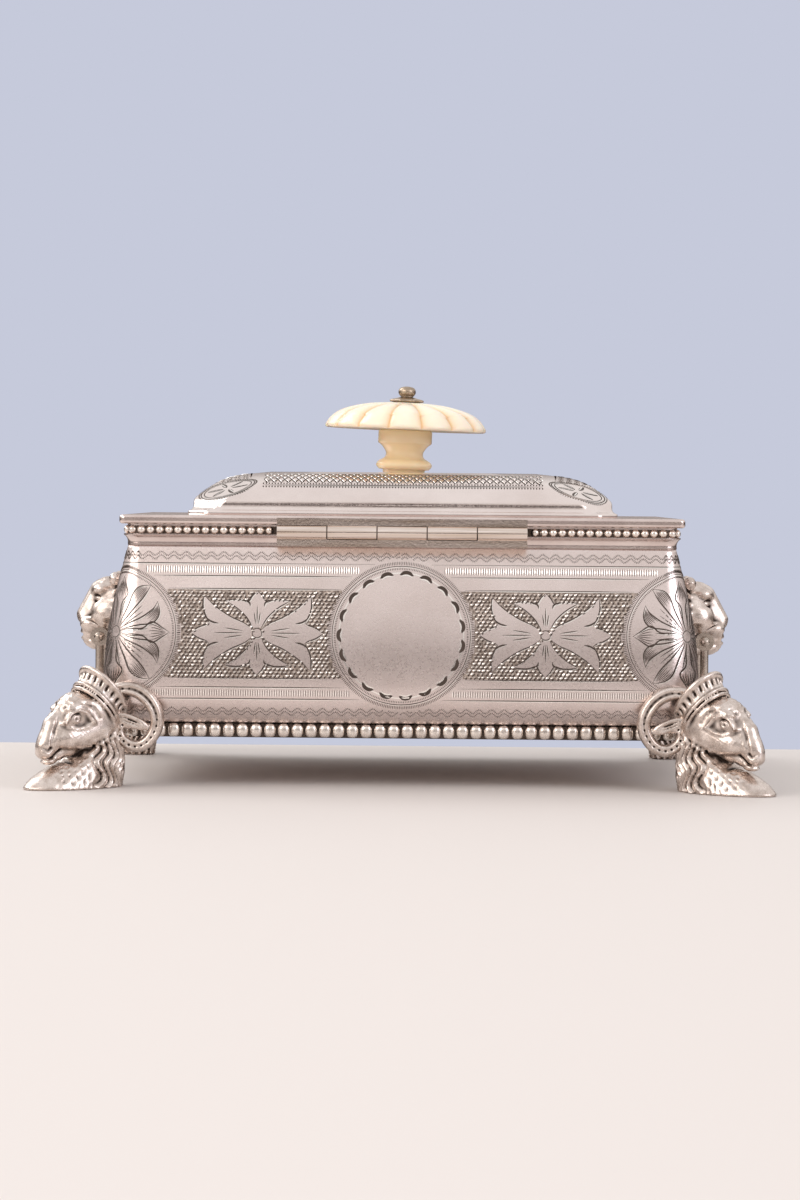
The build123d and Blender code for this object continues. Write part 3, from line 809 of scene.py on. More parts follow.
lid = Graver(None)
for face in range(8):
    lid.spot = lambda a, w, lift, face=face: dome_spot(face, a, w, lift)
    if face % 2 == 0:
        reach = (DOME_X if face % 4 == 0 else DOME_Y) - 20.5
        low, high = (float(np.interp(h, climb_h, climbs[face])) for h in (8.3, 11.35))
        belt = [(a, low) for a in np.arange(-reach, reach + 0.1, 2.0)]
        lid.line(belt, 0.42)
        for beside in (0.8, -0.8):
            lid.wriggle([(a, low + beside) for a, _ in belt], 0.8, 0.8, 0.42)
        for j in range(int((high - low - 1.4) / 2.2)):
            w = low + 2.4 + j * 2.2
            for i in range(int(2 * reach / 0.95)):
                a = -reach + 0.5 + i * 0.95
                lean = 1.15 if (i + j) % 2 else -1.15
                lid.nick(a, w, lean, 2.5, 0.44)
                # beside each crossed cut, a painted highlight
                lid.nick(a + 0.34, w, lean, 2.3, 0.16, "bright")
        lid.line([(a, high + 0.4) for a, _ in belt], 0.4)
    else:
        middle = float(np.interp(7.2, climb_h, climbs[face]))
        for r, width in ((7.6, 0.36), (6.7, 0.3)):
            lid.line(ring(0, middle, r, 60), width, True)
        dots = ring(0, middle, 8.2, 60)
        lid.wriggle(dots + dots[:1], 0.75, 0.55, 0.36)
        for k in range(6):
            # each leaf is a dark cut of tarnish and painted shade, with a painted highlight along it
            for i, (kind, width) in enumerate((("dark", 1.15), ("bright", 0.35))):
                a = pi / 3 * k + pi / 6 + 0.06 * i
                leaf = [(d * cos(a), middle + d * sin(a)) for d in np.linspace(1.3, 5.9, 9)]
                lid.groove(leaf, width, kind, 0.05 + 0.01 * i)
lid.finish("dome_engraving", "lid")

# Hinge: five knuckles of nickel alloy on a steel pin; the plate is worn to a yellow tone, and its lengthwise
# streaks are painted reflection lines along the barrel. The dark lines where the knuckles meet are drawn
# here.
hinge_metal = plate("worn nickel alloy, painted reflection streaks", "#F1E5DD", "#C2AC98", 0.13, 140.0, 0.0001, amount=0.8,
                    stretch=(0.25, 9.0, 9.0))
for name in ("hinge_leaf_lid", "hinge_leaf_body", "hinge_pin"):
    keep_node(name, hinge_metal)
HINGE_Y, HINGE_Z, BARREL, KNUCKLE = -(HALF_Y + 2.1 + 1.8 + 0.4), 68.1, 1.8, 66.7 / 5
joint_points, joint_faces = [], []
for k in range(1, 5):
    start = len(joint_points)
    for x, r in ((-0.17, BARREL), (-0.17, BARREL + 0.04), (0.17, BARREL + 0.04), (0.17, BARREL)):
        joint_points += [(-2.5 * KNUCKLE + k * KNUCKLE + x, HINGE_Y + r * sin(a), HINGE_Z + r * cos(a))
                         for a in np.linspace(pi * 1.02, 2 * pi * 0.99, 24)]
    joint_faces += grid_faces(4, 24, False, False, start)
piece("knuckle_joints", joint_points, joint_faces, joint_dark_and_bead_shade, "box", (), "hinge_metal")

# Knob: turned and fluted bone, stained to a deep cream; a petal washer and a ball nut draw it down.
KNOB_Z, STEM_H, CAP_H, LOBES = 84.4, 12.1, 7.7, 15


def bone(name, light, dark, grooves):
    """Old bone or early celluloid: warm cream, honey-coloured in the grooves, softly glossy."""
    material, tree, coordinates = new_material(name)
    place = coordinates["Object"]
    colour = blend(tree, noise(tree, place, 90.0, 4.0), paint(light), paint(dark))
    if grooves:
        low = node(tree, "ShaderNodeAttribute", {"attribute_name": "recess"}).outputs["Fac"]
        colour = blend(tree, low, colour, paint("#E9BD84"))
    grain = noise(tree, place, 700.0, 2.0)
    shade(tree, Base_Color=colour, Roughness=0.26, IOR=1.54, Normal=bump(tree, grain, 0.0002, 0.1),
          Subsurface_Weight=0.15, Subsurface_Scale=0.002, Coat_Weight=0.25, Coat_Roughness=0.12)
    return material


def lathe(rows, z, sides, shaped=None, closed=False):
    """Spin (radius, height) points about the knob's axis; shaped changes a point by its angle."""
    points = []
    for r, h in rows:
        for a in (2 * pi * i / sides for i in range(sides)):
            reach, rise = shaped(r, h, a) if shaped else (r, h)
            points.append((reach * cos(a), reach * sin(a), z + rise))
    return points, grid_faces(len(rows), sides, closed, True)


stem_curve = smooth_run([(7.05, 1.0), (7.85, 2.2), (7.05, 3.4), (5.6, 4.3), (5.2, 5.4), (5.7, 6.6),
                         (6.6, 7.7), (7.55, 8.4)], 40)
stem_line = [(0.001, 0.0), (5.7, 0.0), (5.9, 0.1), (5.9, 0.8), (6.4, 0.95), *map(tuple, stem_curve),
             (7.55, 11.6), (7.3, 12.0), (7.0, 12.1), (0.001, 12.1)]
stem = turned_out(piece("knob_stem_turned", *lathe(stem_line, KNOB_Z, 64),
                        bone("bone, turned", "#FDEBC6", "#F8DCAC", False), "lid", ("knob_stem",), "ivory"))
cap_curve = smooth_run([(22.75, 0.9), (21.7, 2.6), (19.1, 4.8), (15.1, 6.3), (10.5, 7.2), (5.2, 7.65)], 34)
cap_line = [(0.001, 0.0), (14.0, 0.0), (22.2, 0.0), (22.7, 0.25), *map(tuple, cap_curve), (0.001, 7.7)]
cap_low = []


def fluted(r, h, a):
    """A point of the cap: its grooves are deepest at the rim and run out towards the washer."""
    wave = abs(cos(LOBES * (a + pi / 2) / 2))**0.6                # 0 in a groove, 1 on a lobe
    deep = (1 - wave) * np.clip((r - 5.5) / 5, 0, 1) * (1 if h > 0.2 else 0)
    cap_low.append(float(deep)**1.6)
    return r - deep * (0.9 if r > 20 else 0.2), h - deep * np.clip((h - 0.8) / 3, 0, 0.8)


cap = piece("knob_cap_fluted", *lathe(cap_line, KNOB_Z + STEM_H, 240, fluted),
            bone("bone, fluted", "#FDF4E2", "#FAE9CB", True), "lid", ("knob_cap",), "ivory")
cap.data.attributes.new("recess", "FLOAT", "POINT").data.foreach_set("value", cap_low)
old_fixing = plate("aged silver fixings", "#B7A692", "#8A7866", 0.34, 500.0)
TOP_Z = KNOB_Z + STEM_H + CAP_H
petal_line = [(1.5, 0.0), (3.4, 0.0), (5.1, 0.25), (5.2, 0.6), (4.6, 0.9), (3.2, 1.2), (2.2, 1.5), (1.5, 1.5)]
nut_curve = [(1.2 + 1.25 * cos(a), 1.55 + 1.35 * sin(a)) for a in np.linspace(-1.1, 1.4, 14)]
nut_line = [(0.001, 0.0), (1.5, 0.0), (1.9, 0.25)] + nut_curve + [(0.7, 3.05), (0.001, 3.1)]


def petalled(r, h, a):
    """A point of the washer, whose edge is drawn in at eight places."""
    return r * (1 - 0.13 * (r > 3) * abs(cos(4 * a))), h


washer = turned_out(piece("petal_washer", *lathe(petal_line, TOP_Z, 96, petalled, True), old_fixing, "lid",
                          ("knob_washer",), "aged_fixings"))
nut = turned_out(piece("ball_nut", *lathe(nut_line, TOP_Z + 1.5, 40), old_fixing, "lid", ("knob_nut",),
                       "aged_fixings"))
for name in ("knob_stud", "knob_inner_nut"):
    keep_node(name, old_fixing)

# The knob stands a little askew on its stud, down to the right seen from the hinge side
raised, lowered = (Matrix.Translation((0, 0, way * KNOB_Z * MM)) for way in (1, -1))
for part in (stem, cap, washer, nut):
    part.data.transform(raised @ Matrix.Rotation(radians(2.0), 4, "Y") @ lowered)


# Cast work: ram's-head feet and lion masks. Each is modelled as wax is, by joining and cutting rounded
# masses in a fine grid, and its surface is then taken as a mesh. Polish has worn the heights bright.
cast_silver = plate("cast silver plate, oxidised", "#E8DCD4", "#B3A398", 0.28, 420.0, recess="#3A2F29",
                    amount=0.8)


class Wax:
    """A block of points, each with its distance from the surface, in mm."""

    def __init__(self, low, high, step):
        self.low, self.step = np.array(low, float), step
        counts = [int(round((b - a) / step)) + 1 for a, b in zip(low, high)]
        self.axes = [a + step * np.arange(n) for a, n in zip(low, counts)]
        self.x, self.y, self.z = np.meshgrid(*self.axes, indexing="ij", sparse=True)
        self.field = np.full(counts, 9.0, np.float32)

    def window(self, low, high):
        cut = tuple(slice(max(0, int((a - o) / self.step)), max(1, int((b - o) / self.step) + 2))
                    for a, b, o in zip(low, high, self.low))
        x, y, z = self.axes[0][cut[0]], self.axes[1][cut[1]], self.axes[2][cut[2]]
        return cut, x[:, None, None], y[None, :, None], z[None, None, :]

    def add(self, shape, low, high, soft=0.5):
        """Join a mass; soft is the size of the fillet where it meets the rest."""
        cut, x, y, z = self.window(np.array(low) - soft - 1, np.array(high) + soft + 1)
        a, b = self.field[cut], shape(x, y, z)
        h = np.clip(0.5 + 0.5 * (a - b) / soft, 0, 1)
        self.field[cut] = a * (1 - h) + b * h - soft * h * (1 - h)

    def carve(self, shape, low, high, soft=0.3):
        cut, x, y, z = self.window(np.array(low) - soft - 1, np.array(high) + soft + 1)
        a, b = self.field[cut], -shape(x, y, z)
        h = np.clip(0.5 - 0.5 * (a - b) / soft, 0, 1)
        self.field[cut] = a * (1 - h) + b * h + soft * h * (1 - h)

    def mesh(self):
        grid = vdb.FloatGrid(9.0)
        grid.copyFromArray(self.field)
        points, quads = grid.convertToQuads(0.0)
        return points * self.step + self.low, quads


def egg(centre, radii, lean=0.0):
    """A rounded mass with three radii, leaning about the y axis through its middle."""
    c, r = centre, radii
    ca, sa = cos(lean), sin(lean)

    def shape(x, y, z):
        dx, dy, dz = x - c[0], y - c[1], z - c[2]
        dx, dz = dx * ca - dz * sa, dx * sa + dz * ca
        k0 = np.sqrt((dx / r[0])**2 + (dy / r[1])**2 + (dz / r[2])**2)
        k1 = np.sqrt((dx / r[0]**2)**2 + (dy / r[1]**2)**2 + (dz / r[2]**2)**2)
        return k0 * (k0 - 1) / np.maximum(k1, 1e-6)
    return shape


def rod(a, b, ra, rb):
    """A rounded bar from a to b that tapers."""
    a, b = np.array(a, float), np.array(b, float)
    d = b - a
    dd = d @ d

    def shape(x, y, z):
        t = np.clip(((x - a[0]) * d[0] + (y - a[1]) * d[1] + (z - a[2]) * d[2]) / dd, 0, 1)
        dx, dy, dz = (p - start - t * way for p, start, way in zip((x, y, z), a, d))
        return np.sqrt(dx**2 + dy**2 + dz**2) - (ra + t * (rb - ra))
    return shape


def add_rod(wax, a, b, ra, rb, soft=0.5, carve=False):
    low, high = np.minimum(a, b) - max(ra, rb), np.maximum(a, b) + max(ra, rb)
    (wax.carve if carve else wax.add)(rod(a, b, ra, rb), low, high, soft)


def add_egg(wax, centre, radii, soft=0.5, lean=0.0, carve=False):
    low, high = np.array(centre) - max(radii), np.array(centre) + max(radii)
    (wax.carve if carve else wax.add)(egg(centre, radii, lean), low, high, soft)


def near_line(s, z, points):
    """Distance in the side view from a broken line."""
    best = None
    for (s0, z0), (s1, z1) in zip(points, points[1:]):
        dd = (s1 - s0)**2 + (z1 - z0)**2
        t = np.clip(((s - s0) * (s1 - s0) + (z - z0) * (z1 - z0)) / dd, 0, 1)
        d = np.sqrt((s - s0 - t * (s1 - s0))**2 + (z - z0 - t * (z1 - z0))**2)
        best = d if best is None else np.minimum(best, d)
    return best


def bell(d, width):
    return np.exp(-(d / width)**2)


FOOT_TURN = radians(40)
FOOT_X, FOOT_Y = HALF_X - 0.5, HALF_Y + 0.5


def ram_head(step=0.34):
    """The near left foot in the foot's own axes: s runs outward, t across it, z up."""
    wax = Wax((-2, -11, 0), (35, 11, 34), step)
    s, t, z = wax.x, wax.y, wax.z
    front = np.interp(z, [0, 0.6, 1.6, 3, 4.5, 6, 7.2, 8.6, 11, 15, 20],
                      [32.6, 32.6, 31.8, 30.2, 27.6, 24.6, 21.6, 18.0, 16, 15, 14])
    rear = np.interp(z, [0, 4, 7, 10.5, 16, 20], [2.9, 2.3, 2.1, 2.5, 3.3, 3.9])
    side = np.interp(z, [0, 1.6, 4, 7, 10.5, 16, 20], [7.8, 7.5, 6.9, 6.4, 6.0, 6.0, 5.4])
    a, c = (front - rear) / 2, (front + rear) / 2
    core = (np.sqrt(((s - c) / a)**2 + (t / side)**2) - 1) * np.minimum(a, side)
    # wavy locks down the neck, about 2.4 mm wide, with sharp valleys and fine strands on each
    angle = np.arctan2(t, s - 9.0)
    phase = 9.0 * angle + 1.25 * np.sin(0.85 * z + 2.0 * angle)
    locks = np.abs(np.cos(phase)) + 0.10 * np.cos(6 * phase)
    hairy = np.clip((16.5 - s) / 3, 0, 1) * np.clip((15.5 - z) / 2, 0, 1)
    core = core + (1.05 - 1.25 * locks) * hairy
    nicks = np.clip(np.sin(3.0 * s + 2.0 * z + 1.6 * np.sin(1.9 * t)) * np.sin(3.4 * t + 1.3 * s), 0, 1)
    ends = np.clip((s - 15) / 2, 0, 1) * np.clip((27.5 - s) / 3, 0, 1) * np.clip(z / 1.5, 0, 1)
    core = core + 0.40 * nicks * ends
    wax.field = np.maximum(core, z - 18.5).astype(np.float32)
    add_egg(wax, (12.0, 0, 19.6), (7.4, 6.2, 7.0), 1.2, 0.6)
    add_egg(wax, (17.4, 0, 20.2), (5.0, 5.4, 5.2), 1.2)
    add_rod(wax, (17.6, 0, 18.0), (25.2, 0, 12.2), 5.1, 3.0, 1.2)
    add_rod(wax, (25.0, 0, 13.0), (26.6, 0, 10.2), 2.9, 2.3, 0.9)
    add_rod(wax, (19.6, 0, 21.6), (24.6, 0, 17.0), 2.2, 2.0, 1.6)
    add_rod(wax, (24.6, 0, 17.0), (27.1, 0, 11.4), 2.0, 1.95, 1.4)
    add_rod(wax, (11.6, 0, 14.4), (24.4, 0, 9.0), 4.2, 1.9, 0.6)
    add_egg(wax, (27.0, 0, 9.6), (2.0, 2.7, 1.6), 0.7)
    add_egg(wax, (25.8, 0, 7.6), (2.2, 2.2, 1.2), 0.9)
    for k in (-1, 1):
        add_egg(wax, (13.2, k * 3.9, 15.2), (5.0, 2.4, 3.7), 1.4)
        add_egg(wax, (20.8, k * 2.9, 13.6), (3.6, 1.9, 2.6), 1.0, 0.5)
        add_egg(wax, (18.8, k * 3.7, 22.0), (4.0, 1.6, 1.3), 1.0, 0.3)
        add_egg(wax, (17.8, k * 3.3, 13.6), (4.6, 2.0, 3.0), 1.4)
    # the throat is cut in deep under the jaw
    add_rod(wax, (20.4, -12, 7.3), (20.4, 12, 7.3), 0.8, 0.8, 1.1, carve=True)
    f = wax.field
    lateral = np.clip((np.abs(t) - 1.0) / 1.2, 0, 1)
    f = f + 0.62 * bell(near_line(s, z, [(29.6, 7.8), (27.6, 7.6), (25.4, 8.5), (23.4, 10.4)]), 0.36)
    f = f + 0.80 * bell(near_line(s, z, [(28.3, 11.0), (27.2, 10.3), (26.5, 11.0)]), 0.34) * lateral
    f = f + 0.45 * bell(near_line(s, z, [(24.4, 17.6), (26.3, 12.6), (26.1, 11.2)]), 0.45) * lateral
    # eye: a shallow almond socket, the ball, an iris ring, two lids, and the fold of the brow
    f = f + 0.4 * bell(near_line(s, z, [(17.8, 18.2), (21.0, 18.3)]), 1.9) * lateral
    wax.field = f.astype(np.float32)
    for k in (-1, 1):
        add_egg(wax, (19.5, k * 3.95, 18.4), (3.2, 1.25, 2.0), 0.3, 0.12)
    f = wax.field
    upper = near_line(s, z, [(15.0, 17.6), (16.9, 20.1), (19.4, 20.9), (21.8, 19.8), (23.2, 17.4)])
    lower = near_line(s, z, [(15.0, 17.6), (17.2, 16.3), (19.8, 15.9), (22.0, 16.4), (23.2, 17.4)])
    fold = near_line(s, z, [(13.2, 18.8), (15.3, 21.8), (19.0, 23.0), (22.4, 21.4), (24.3, 18.4)])
    lids = 0.62 * bell(upper, 0.42) + 0.42 * bell(lower, 0.38)
    f = f - lids * lateral + 0.32 * bell(fold, 0.36) * lateral
    iris = near_line(s, z, [(19.9, 18.5), (20.0, 18.5)])
    f = f + (0.5 * bell(iris, 0.42) + 0.36 * bell(iris - 1.35, 0.26)) * lateral
    # short curls on the forehead, wool on the cheek's edge, and stipple below the eye
    curls = np.sin(2.9 * s + 1.5 * np.sin(2.1 * t)) * np.sin(2.6 * z + 1.7 * t)
    f = f - 0.20 * curls * bell(near_line(s, z, [(16.5, 26.4), (20.4, 24.8), (23.2, 22.0)]), 2.1)
    wool = np.sin(1.7 * s + 1.1 * np.sin(1.9 * z)) * np.sin(2.3 * z + 0.8)
    f = f - 0.40 * wool * bell(near_line(s, z, [(5.2, 15.8), (9.0, 12.6), (14.5, 11.4)]), 1.5) * lateral
    stipple = np.sin(4.6 * s + z) * np.sin(4.8 * z - s)
    f = f - 0.09 * stipple * bell(near_line(s, z, [(19.0, 14.6), (23.4, 13.0)]), 2.6)
    # the coronet leans back: along runs in the plane of its rim, h up its slanting axis
    (bx, bz), (ax, az) = (cos(radians(48)), sin(radians(48))), (-0.52, 0.855)
    ds, dz, det = s - 10.4, z - 21.55, bx * az - bz * ax
    along, h = (ds * az - dz * ax) / det, (bx * dz - bz * ds) / det
    q = np.sqrt(along**2 + (t * 1.19)**2)
    radius = 7.55 + 0.13 * np.clip(h, 0, 5)
    band = np.maximum(q - radius, np.abs(h - 2.3) - 2.3)
    round_it = np.arctan2(t * 1.19, along)
    points = np.clip(np.cos(22 * round_it), 0, 1) * bell(h - 2.75, 0.85)
    band = band + 0.85 * points * np.clip((q - radius + 1.6) / 0.6, 0, 1)
    for middle, level, thick in ((8.05, 4.55, 0.82), (8.0, 0.15, 0.55), (7.95, -1.15, 0.5)):
        band = np.minimum(band, np.sqrt((q - middle)**2 + (h - level)**2) - thick)
    band = np.maximum(band, -np.maximum(q - 6.9, 4.2 - h))
    band = band * 0.85
    hh = np.clip(0.5 + 0.5 * (f - band) / 0.3, 0, 1)
    f = f * (1 - hh) + band * hh - 0.3 * hh * (1 - hh)
    wax.field = np.maximum(f, 0.02 - z).astype(np.float32)
    points, quads = wax.mesh()
    c, sn = cos(pi + FOOT_TURN), sin(pi + FOOT_TURN)
    out, beside, up = points.T
    return np.c_[-FOOT_X + out * c - beside * sn, -FOOT_Y + out * sn + beside * c, up], quads


def recess_of(points, quads):
    """How hollow the surface is round each point, over two distances: 0.5 is flat, more is hollow."""
    edges = np.concatenate([quads[:, [0, 1]], quads[:, [1, 2]], quads[:, [2, 3]], quads[:, [3, 0]]])
    near, far = np.r_[edges[:, 0], edges[:, 1]], np.r_[edges[:, 1], edges[:, 0]]
    n = len(points)
    degree = np.bincount(near, minlength=n)

    def spread(v):
        return np.stack([np.bincount(near, v[far, k], n) / degree for k in range(v.shape[1])], 1)

    normal = np.cross(points[quads[:, 2]] - points[quads[:, 0]], points[quads[:, 3]] - points[quads[:, 1]])
    vertex = np.stack([sum(np.bincount(quads[:, k], normal[:, c], n) for k in range(4)) for c in range(3)], 1)
    vertex /= np.linalg.norm(vertex, axis=1)[:, None] + 1e-9
    outward = 1 if ((points - points.mean(0)) * vertex).sum(1).mean() > 0 else -1
    soft, value = points, 0.5
    for steps, share in ((5, 0.20), (22, 0.09)):
        for _ in range(steps):
            soft = spread(soft)
        hollow = spread(((soft - points) * vertex).sum(1)[:, None] * outward)[:, 0]
        value = value + share * hollow / hollow.std()
    return np.clip(value, 0, 1).astype(np.float32), outward


def cast_piece(name, shape, move, stands_for, mirror_x=False, mirror_y=False):
    """A casting from (points, quads, recess, outward), moved to its place and mirrored for its corner."""
    points, quads, recess, outward = shape
    pts = move(points) * (-1 if mirror_x else 1, -1 if mirror_y else 1, 1)
    turned = np.linalg.det(move(np.eye(3)) - move(np.zeros((3, 3)))) < 0
    flips = int(outward < 0) + int(mirror_x) + int(mirror_y) + int(turned)
    faces = quads[:, ::-1] if flips % 2 == 1 else quads
    obj = piece(name, pts, faces, cast_silver, "box", stands_for, "cast_silver")
    obj.data.attributes.new("recess", "FLOAT", "POINT").data.foreach_set("value", recess)


# Horns: a flat-backed spiral with a row of punched dots, curling from the diadem back along each wall
HORN = [(-8.6, 23.8), (-6.3, 25.4), (-3.2, 26.3), (1.0, 25.1), (4.4, 21.3), (5.3, 17.4), (4.1, 13.9),
        (2.2, 11.8), (-0.4, 10.9), (-3.2, 12.0), (-4.7, 14.4), (-4.1, 16.6), (-2.6, 16.4)]


def horn_points(step=0.27):
    """One horn with the ear inside its loop, in the plane of the wall; -y faces away from the wall."""
    line = smooth_run(HORN, 80)
    radius = np.interp(np.arange(80), [0, 12, 24, 45, 66, 79], [1.8, 1.85, 2.05, 1.75, 1.5, 1.0])
    length = np.r_[0, np.cumsum(np.hypot(*np.diff(line, axis=0).T))]
    wax = Wax((-11, -3.0, 7), (9, 3.0, 30), step)
    spine = [[(x, back, z) for (x, z), back in zip(line, backs)] for backs in (0 * radius, -radius - 0.75)]
    for i in range(79):
        add_rod(wax, *spine[0][i:i + 2], radius[i], radius[i + 1], 0.1)
    for i in range(4, 78):
        add_rod(wax, *spine[1][i:i + 2], radius[i] * 0.62, radius[i + 1] * 0.62, 0.15, carve=True)
    for d in np.arange(2.0, length[-1] - 0.8, 1.7):
        x, z = np.interp(d, length, line[:, 0]), np.interp(d, length, line[:, 1])
        add_egg(wax, (x, 0.2 - np.interp(d, length, radius), z), (0.36, 0.4, 0.36), 0.1, carve=True)
    add_egg(wax, (-1.7, -0.5, 17.6), (5.2, 0.95, 1.75), 0.3, 0.36)
    add_egg(wax, (-1.5, -1.5, 17.5), (3.9, 0.75, 0.8), 0.25, 0.36, carve=True)
    add_rod(wax, (-4.6, -1.1, 18.6), (1.8, -1.1, 16.2), 0.22, 0.22, 0.2)
    wax.field = np.maximum(wax.field, wax.y - 1.3).astype(np.float32)
    return wax.mesh()


WALL_X, WALL_Y = HALF_X + BULGE, HALF_Y + BULGE


def casting(made):
    return (*made, *recess_of(*made))


head, horn = casting(ram_head()), casting(horn_points())
for corner, *mirrored in (("near_left", False, False), ("near_right", True, False), ("far_left", False, True),
                          ("far_right", True, True)):
    cast_piece(f"{corner}_ram", head, lambda q: q, (f"{corner}_foot",), *mirrored)
    cast_piece(f"{corner}_horn_long", horn, lambda q: q + (-(WALL_X - 9.9), -(WALL_Y + 1.5), 0),
               (f"{corner}_horns",), *mirrored)
    cast_piece(f"{corner}_horn_end", horn, lambda q: q[:, [1, 0, 2]] + (-(WALL_X + 1.5), -(WALL_Y - 9.9), 0),
               (), *mirrored)


# Lion masks: cast in one with a ring of mane locks; the handle's pin runs through the open mouth
def lion_mask(step=0.3):
    """The right mask: x runs out from 77 mm, where the wall's fullest line is near."""
    wax = Wax((-3, -12.5, 32), (16, 12.5, 59), step)
    x, y, z = wax.x, wax.y, wax.z
    around = np.arctan2(y, z - 45.6)
    far = np.sqrt(y**2 + (z - 45.6)**2)
    locks = np.abs(np.cos(9 * around + 0.22 * far))
    mane = egg((-0.4, 0, 46.0), (5.6, 10.9, 10.9))(x, y, z)
    wax.field = (mane + (0.95 - 1.2 * locks) * np.clip((far - 5.0) / 2.5, 0, 1)).astype(np.float32)
    add_egg(wax, (4.0, 0, 46.4), (5.6, 6.9, 7.6), 0.8)
    add_egg(wax, (6.0, 0, 51.6), (3.5, 4.6, 2.9), 1.2)
    for k in (-1, 1):
        add_egg(wax, (7.6, k * 3.1, 51.0), (2.7, 2.9, 1.7), 0.9)
        add_egg(wax, (5.8, k * 4.3, 44.2), (4.6, 3.4, 4.6), 1.6)
        add_egg(wax, (10.5, k * 2.1, 41.2), (3.4, 2.7, 2.4), 1.2)
        add_egg(wax, (9.2, k * 3.5, 48.3), (2.0, 2.1, 1.2), 0.4, carve=True)
        add_egg(wax, (7.9, k * 3.2, 48.3), (1.45, 1.4, 0.95), 0.2)
        add_rod(wax, (8.4, k * 1.2, 49.6), (11.8, k * 1.5, 43.4), 0.7, 0.9, 0.9)
        add_egg(wax, (3.6, k * 6.6, 54.0), (1.7, 2.2, 1.9), 0.5)
        add_rod(wax, (12.6, k * 3.4, 43.2), (8.6, k * 5.4, 41.0), 0.25, 0.2, 0.3, carve=True)
    add_rod(wax, (8.6, 0, 50.6), (12.9, 0, 43.8), 2.7, 2.1, 1.2)
    add_egg(wax, (13.0, 0, 42.6), (1.6, 2.4, 1.4), 0.6)
    add_egg(wax, (8.4, 0, 44.0), (4.0, 3.8, 4.6), 0.8)
    add_egg(wax, (8.4, 0, 36.0), (4.2, 3.8, 2.2), 0.8)
    add_egg(wax, (4.2, 0, 37.0), (4.2, 5.0, 3.2), 1.0)
    add_egg(wax, (10.2, 0, 38.6), (3.7, 3.3, 3.6), 0.8)
    add_rod(wax, (7.6, -14, 38.0), (7.6, 14, 38.0), 1.55, 1.55, 0.3, carve=True)
    add_egg(wax, (12.4, 0, 38.1), (2.2, 2.0, 0.6), 0.3, carve=True)
    grain = 0.14 * np.sin(3.3 * y + z) * np.sin(3.1 * z) * np.clip((far - 7) / 2, 0, 1)
    wax.field = (wax.field + grain).astype(np.float32)
    return wax.mesh()


lion = casting(lion_mask())
MASK_BACK = 77.0
for name, mirrored in (("right", False), ("left", True)):
    cast_piece(f"{name}_lion_mask", lion, lambda q: q + (MASK_BACK, 0, 0), (f"{name}_mask",), mirrored)

# Drop handles: drawn wire bent to a stirrup, with flattened eyes that swing on the ball-ended pins.
bright = plate("silver plate, drawn wire", "#C2B6AB", "#85786E", 0.22, 250.0)
for name in ("left_bail", "right_bail", "left_pivot_pin", "right_pivot_pin"):
    keep_node(name, bright)


# Liner: a pressed glass dish, faintly green, that stands loose with its lip on the ledge inside the rim
def clear_glass():
    material, tree, coordinates = new_material("pressed glass")
    ripple = noise(tree, coordinates["Object"], 60.0, 2.0)
    shade(tree, Base_Color=paint("#E6F2EE"), Roughness=0.04, IOR=1.5, Transmission_Weight=1.0,
          Normal=bump(tree, ripple, 0.0005, 0.2))
    return material


keep_node("liner", clear_glass())

# Floor, light and camera: a pale table, a large soft light on each side, and one from above and behind.
floor_mesh = bpy.data.meshes.new("floor")
TABLE_BACK = 0.103       # the table ends a hand's breadth behind the box
floor_mesh.from_pydata([(-4, -4, 0), (4, -4, 0), (4, TABLE_BACK, 0), (-4, TABLE_BACK, 0)], [], [(0, 1, 2, 3)])
floor = in_scene("floor", floor_mesh)
floor_paint = bpy.data.materials.new("pale table")
floor_paint.use_nodes = True
table_top = floor_paint.node_tree.nodes["Principled BSDF"].inputs
table_top["Base Color"].default_value = paint("#DCD6D2")
table_top["Roughness"].default_value = 0.55
floor_mesh.materials.append(floor_paint)

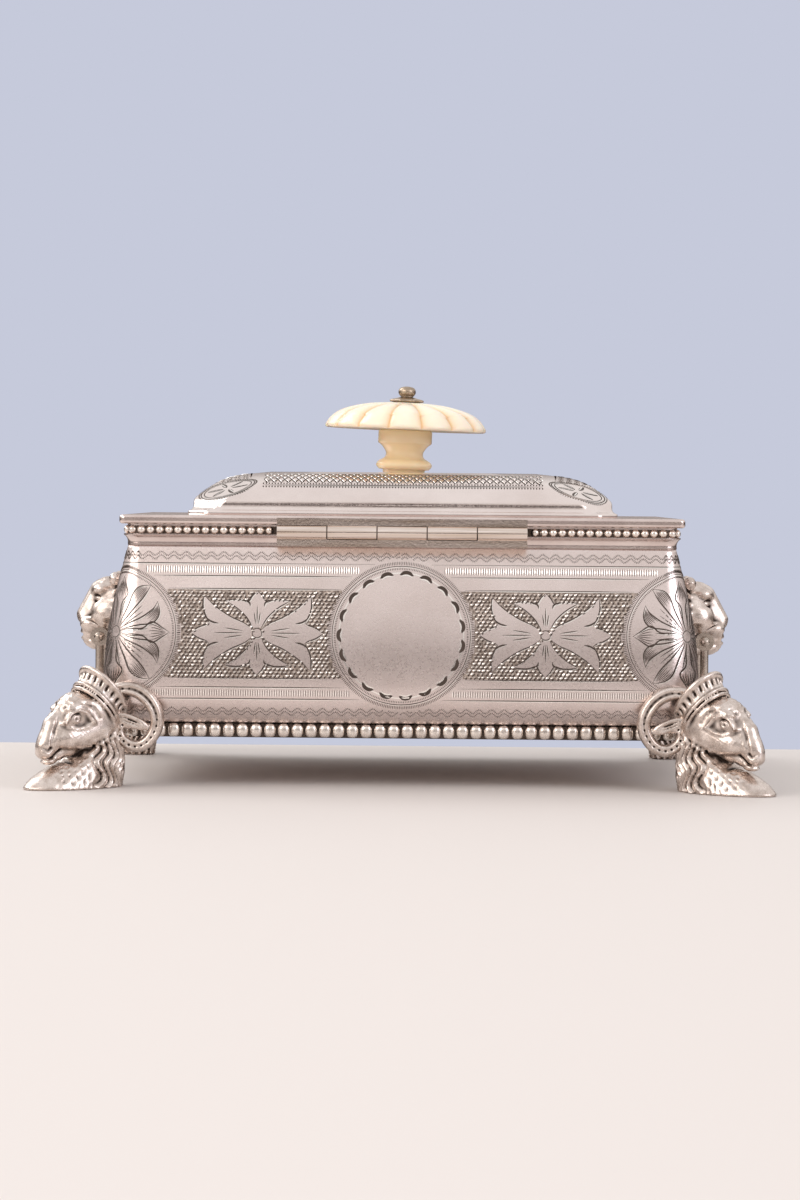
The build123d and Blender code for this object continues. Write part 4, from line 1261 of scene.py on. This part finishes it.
world = bpy.data.worlds.new("studio")
bpy.context.scene.world = world
world.use_nodes = True
tree = world.node_tree
tree.nodes.clear()
way_up = node(tree, "ShaderNodeSeparateXYZ", i0=node(tree, "ShaderNodeTexCoord").outputs["Generated"])
sky = node(tree, "ShaderNodeValToRGB", i0=remap(tree, way_up.outputs["Z"], -0.3, 0.9))
tones = [(0.22, "#746A66"), (0.30, "#2E2A29"), (0.37, "#B9B0AD"), (0.56, "#F2EEEC"), (1.0, "#F4F1F1")]
for _ in tones[2:]:
    sky.color_ramp.elements.new(0.4)
for at, (place_at, tone) in enumerate(tones):
    sky.color_ramp.elements[at].position = place_at
    sky.color_ramp.elements[at].color = paint(tone)
seen = node(tree, "ShaderNodeLightPath").outputs["Is Camera Ray"]
mixed = blend(tree, seen, sky.outputs[0], paint("#C6CADB"))
studio = node(tree, "ShaderNodeBackground", Color=mixed, Strength=1.0)
node(tree, "ShaderNodeOutputWorld", Surface=studio.outputs[0])


def lamp(name, place, target, size, power, colour="#FFFFFF"):
    light = bpy.data.lights.new(name, "AREA")
    light.shape, light.size, light.size_y, light.energy = "RECTANGLE", size[0], size[1], power
    light.color = paint(colour)[:3]
    obj = in_scene(name, light)
    obj.location = place
    obj.rotation_euler = (Vector(target) - Vector(place)).to_track_quat("-Z", "Y").to_euler()


lamp("soft left", (-1.1, -1.0, 0.75), (0, 0, 0.05), (1.3, 1.0), 10.0, "#FFF6F0")
lamp("soft right", (1.2, -0.9, 0.6), (0, 0, 0.05), (0.9, 0.9), 6.0, "#F8F6FF")
lamp("soft top", (-1.0, 0.5, 1.0), (0, 0, 0.05), (0.9, 0.9), 7.0)

# The camera as solved from the photograph: its focal length in pixels of a picture 1200 high, and its turn
FOCAL, SENSOR = 3614.4, 36.0
camera_data = bpy.data.cameras.new("camera")
camera = in_scene("camera", camera_data)
camera_data.sensor_fit = "VERTICAL"
camera_data.sensor_height = SENSOR
camera_data.lens = FOCAL * SENSOR / 1200.0
yaw, pitch, roll = -0.0051, -0.0301, 0.0088
look = Vector((sin(yaw) * cos(pitch), cos(yaw) * cos(pitch), sin(pitch)))
across = look.cross(Vector((0, 0, 1))).normalized()
up = across.cross(look)
axes = Matrix((across * cos(roll) + up * sin(roll), up * cos(roll) - across * sin(roll), -look))
camera.matrix_world = Matrix.Translation((0.0045, -1.0204, 0.07926)) @ axes.transposed().to_4x4()
camera_data.clip_start = 0.05
bpy.context.scene.camera = camera
bpy.context.scene.view_settings.view_transform = "Standard"
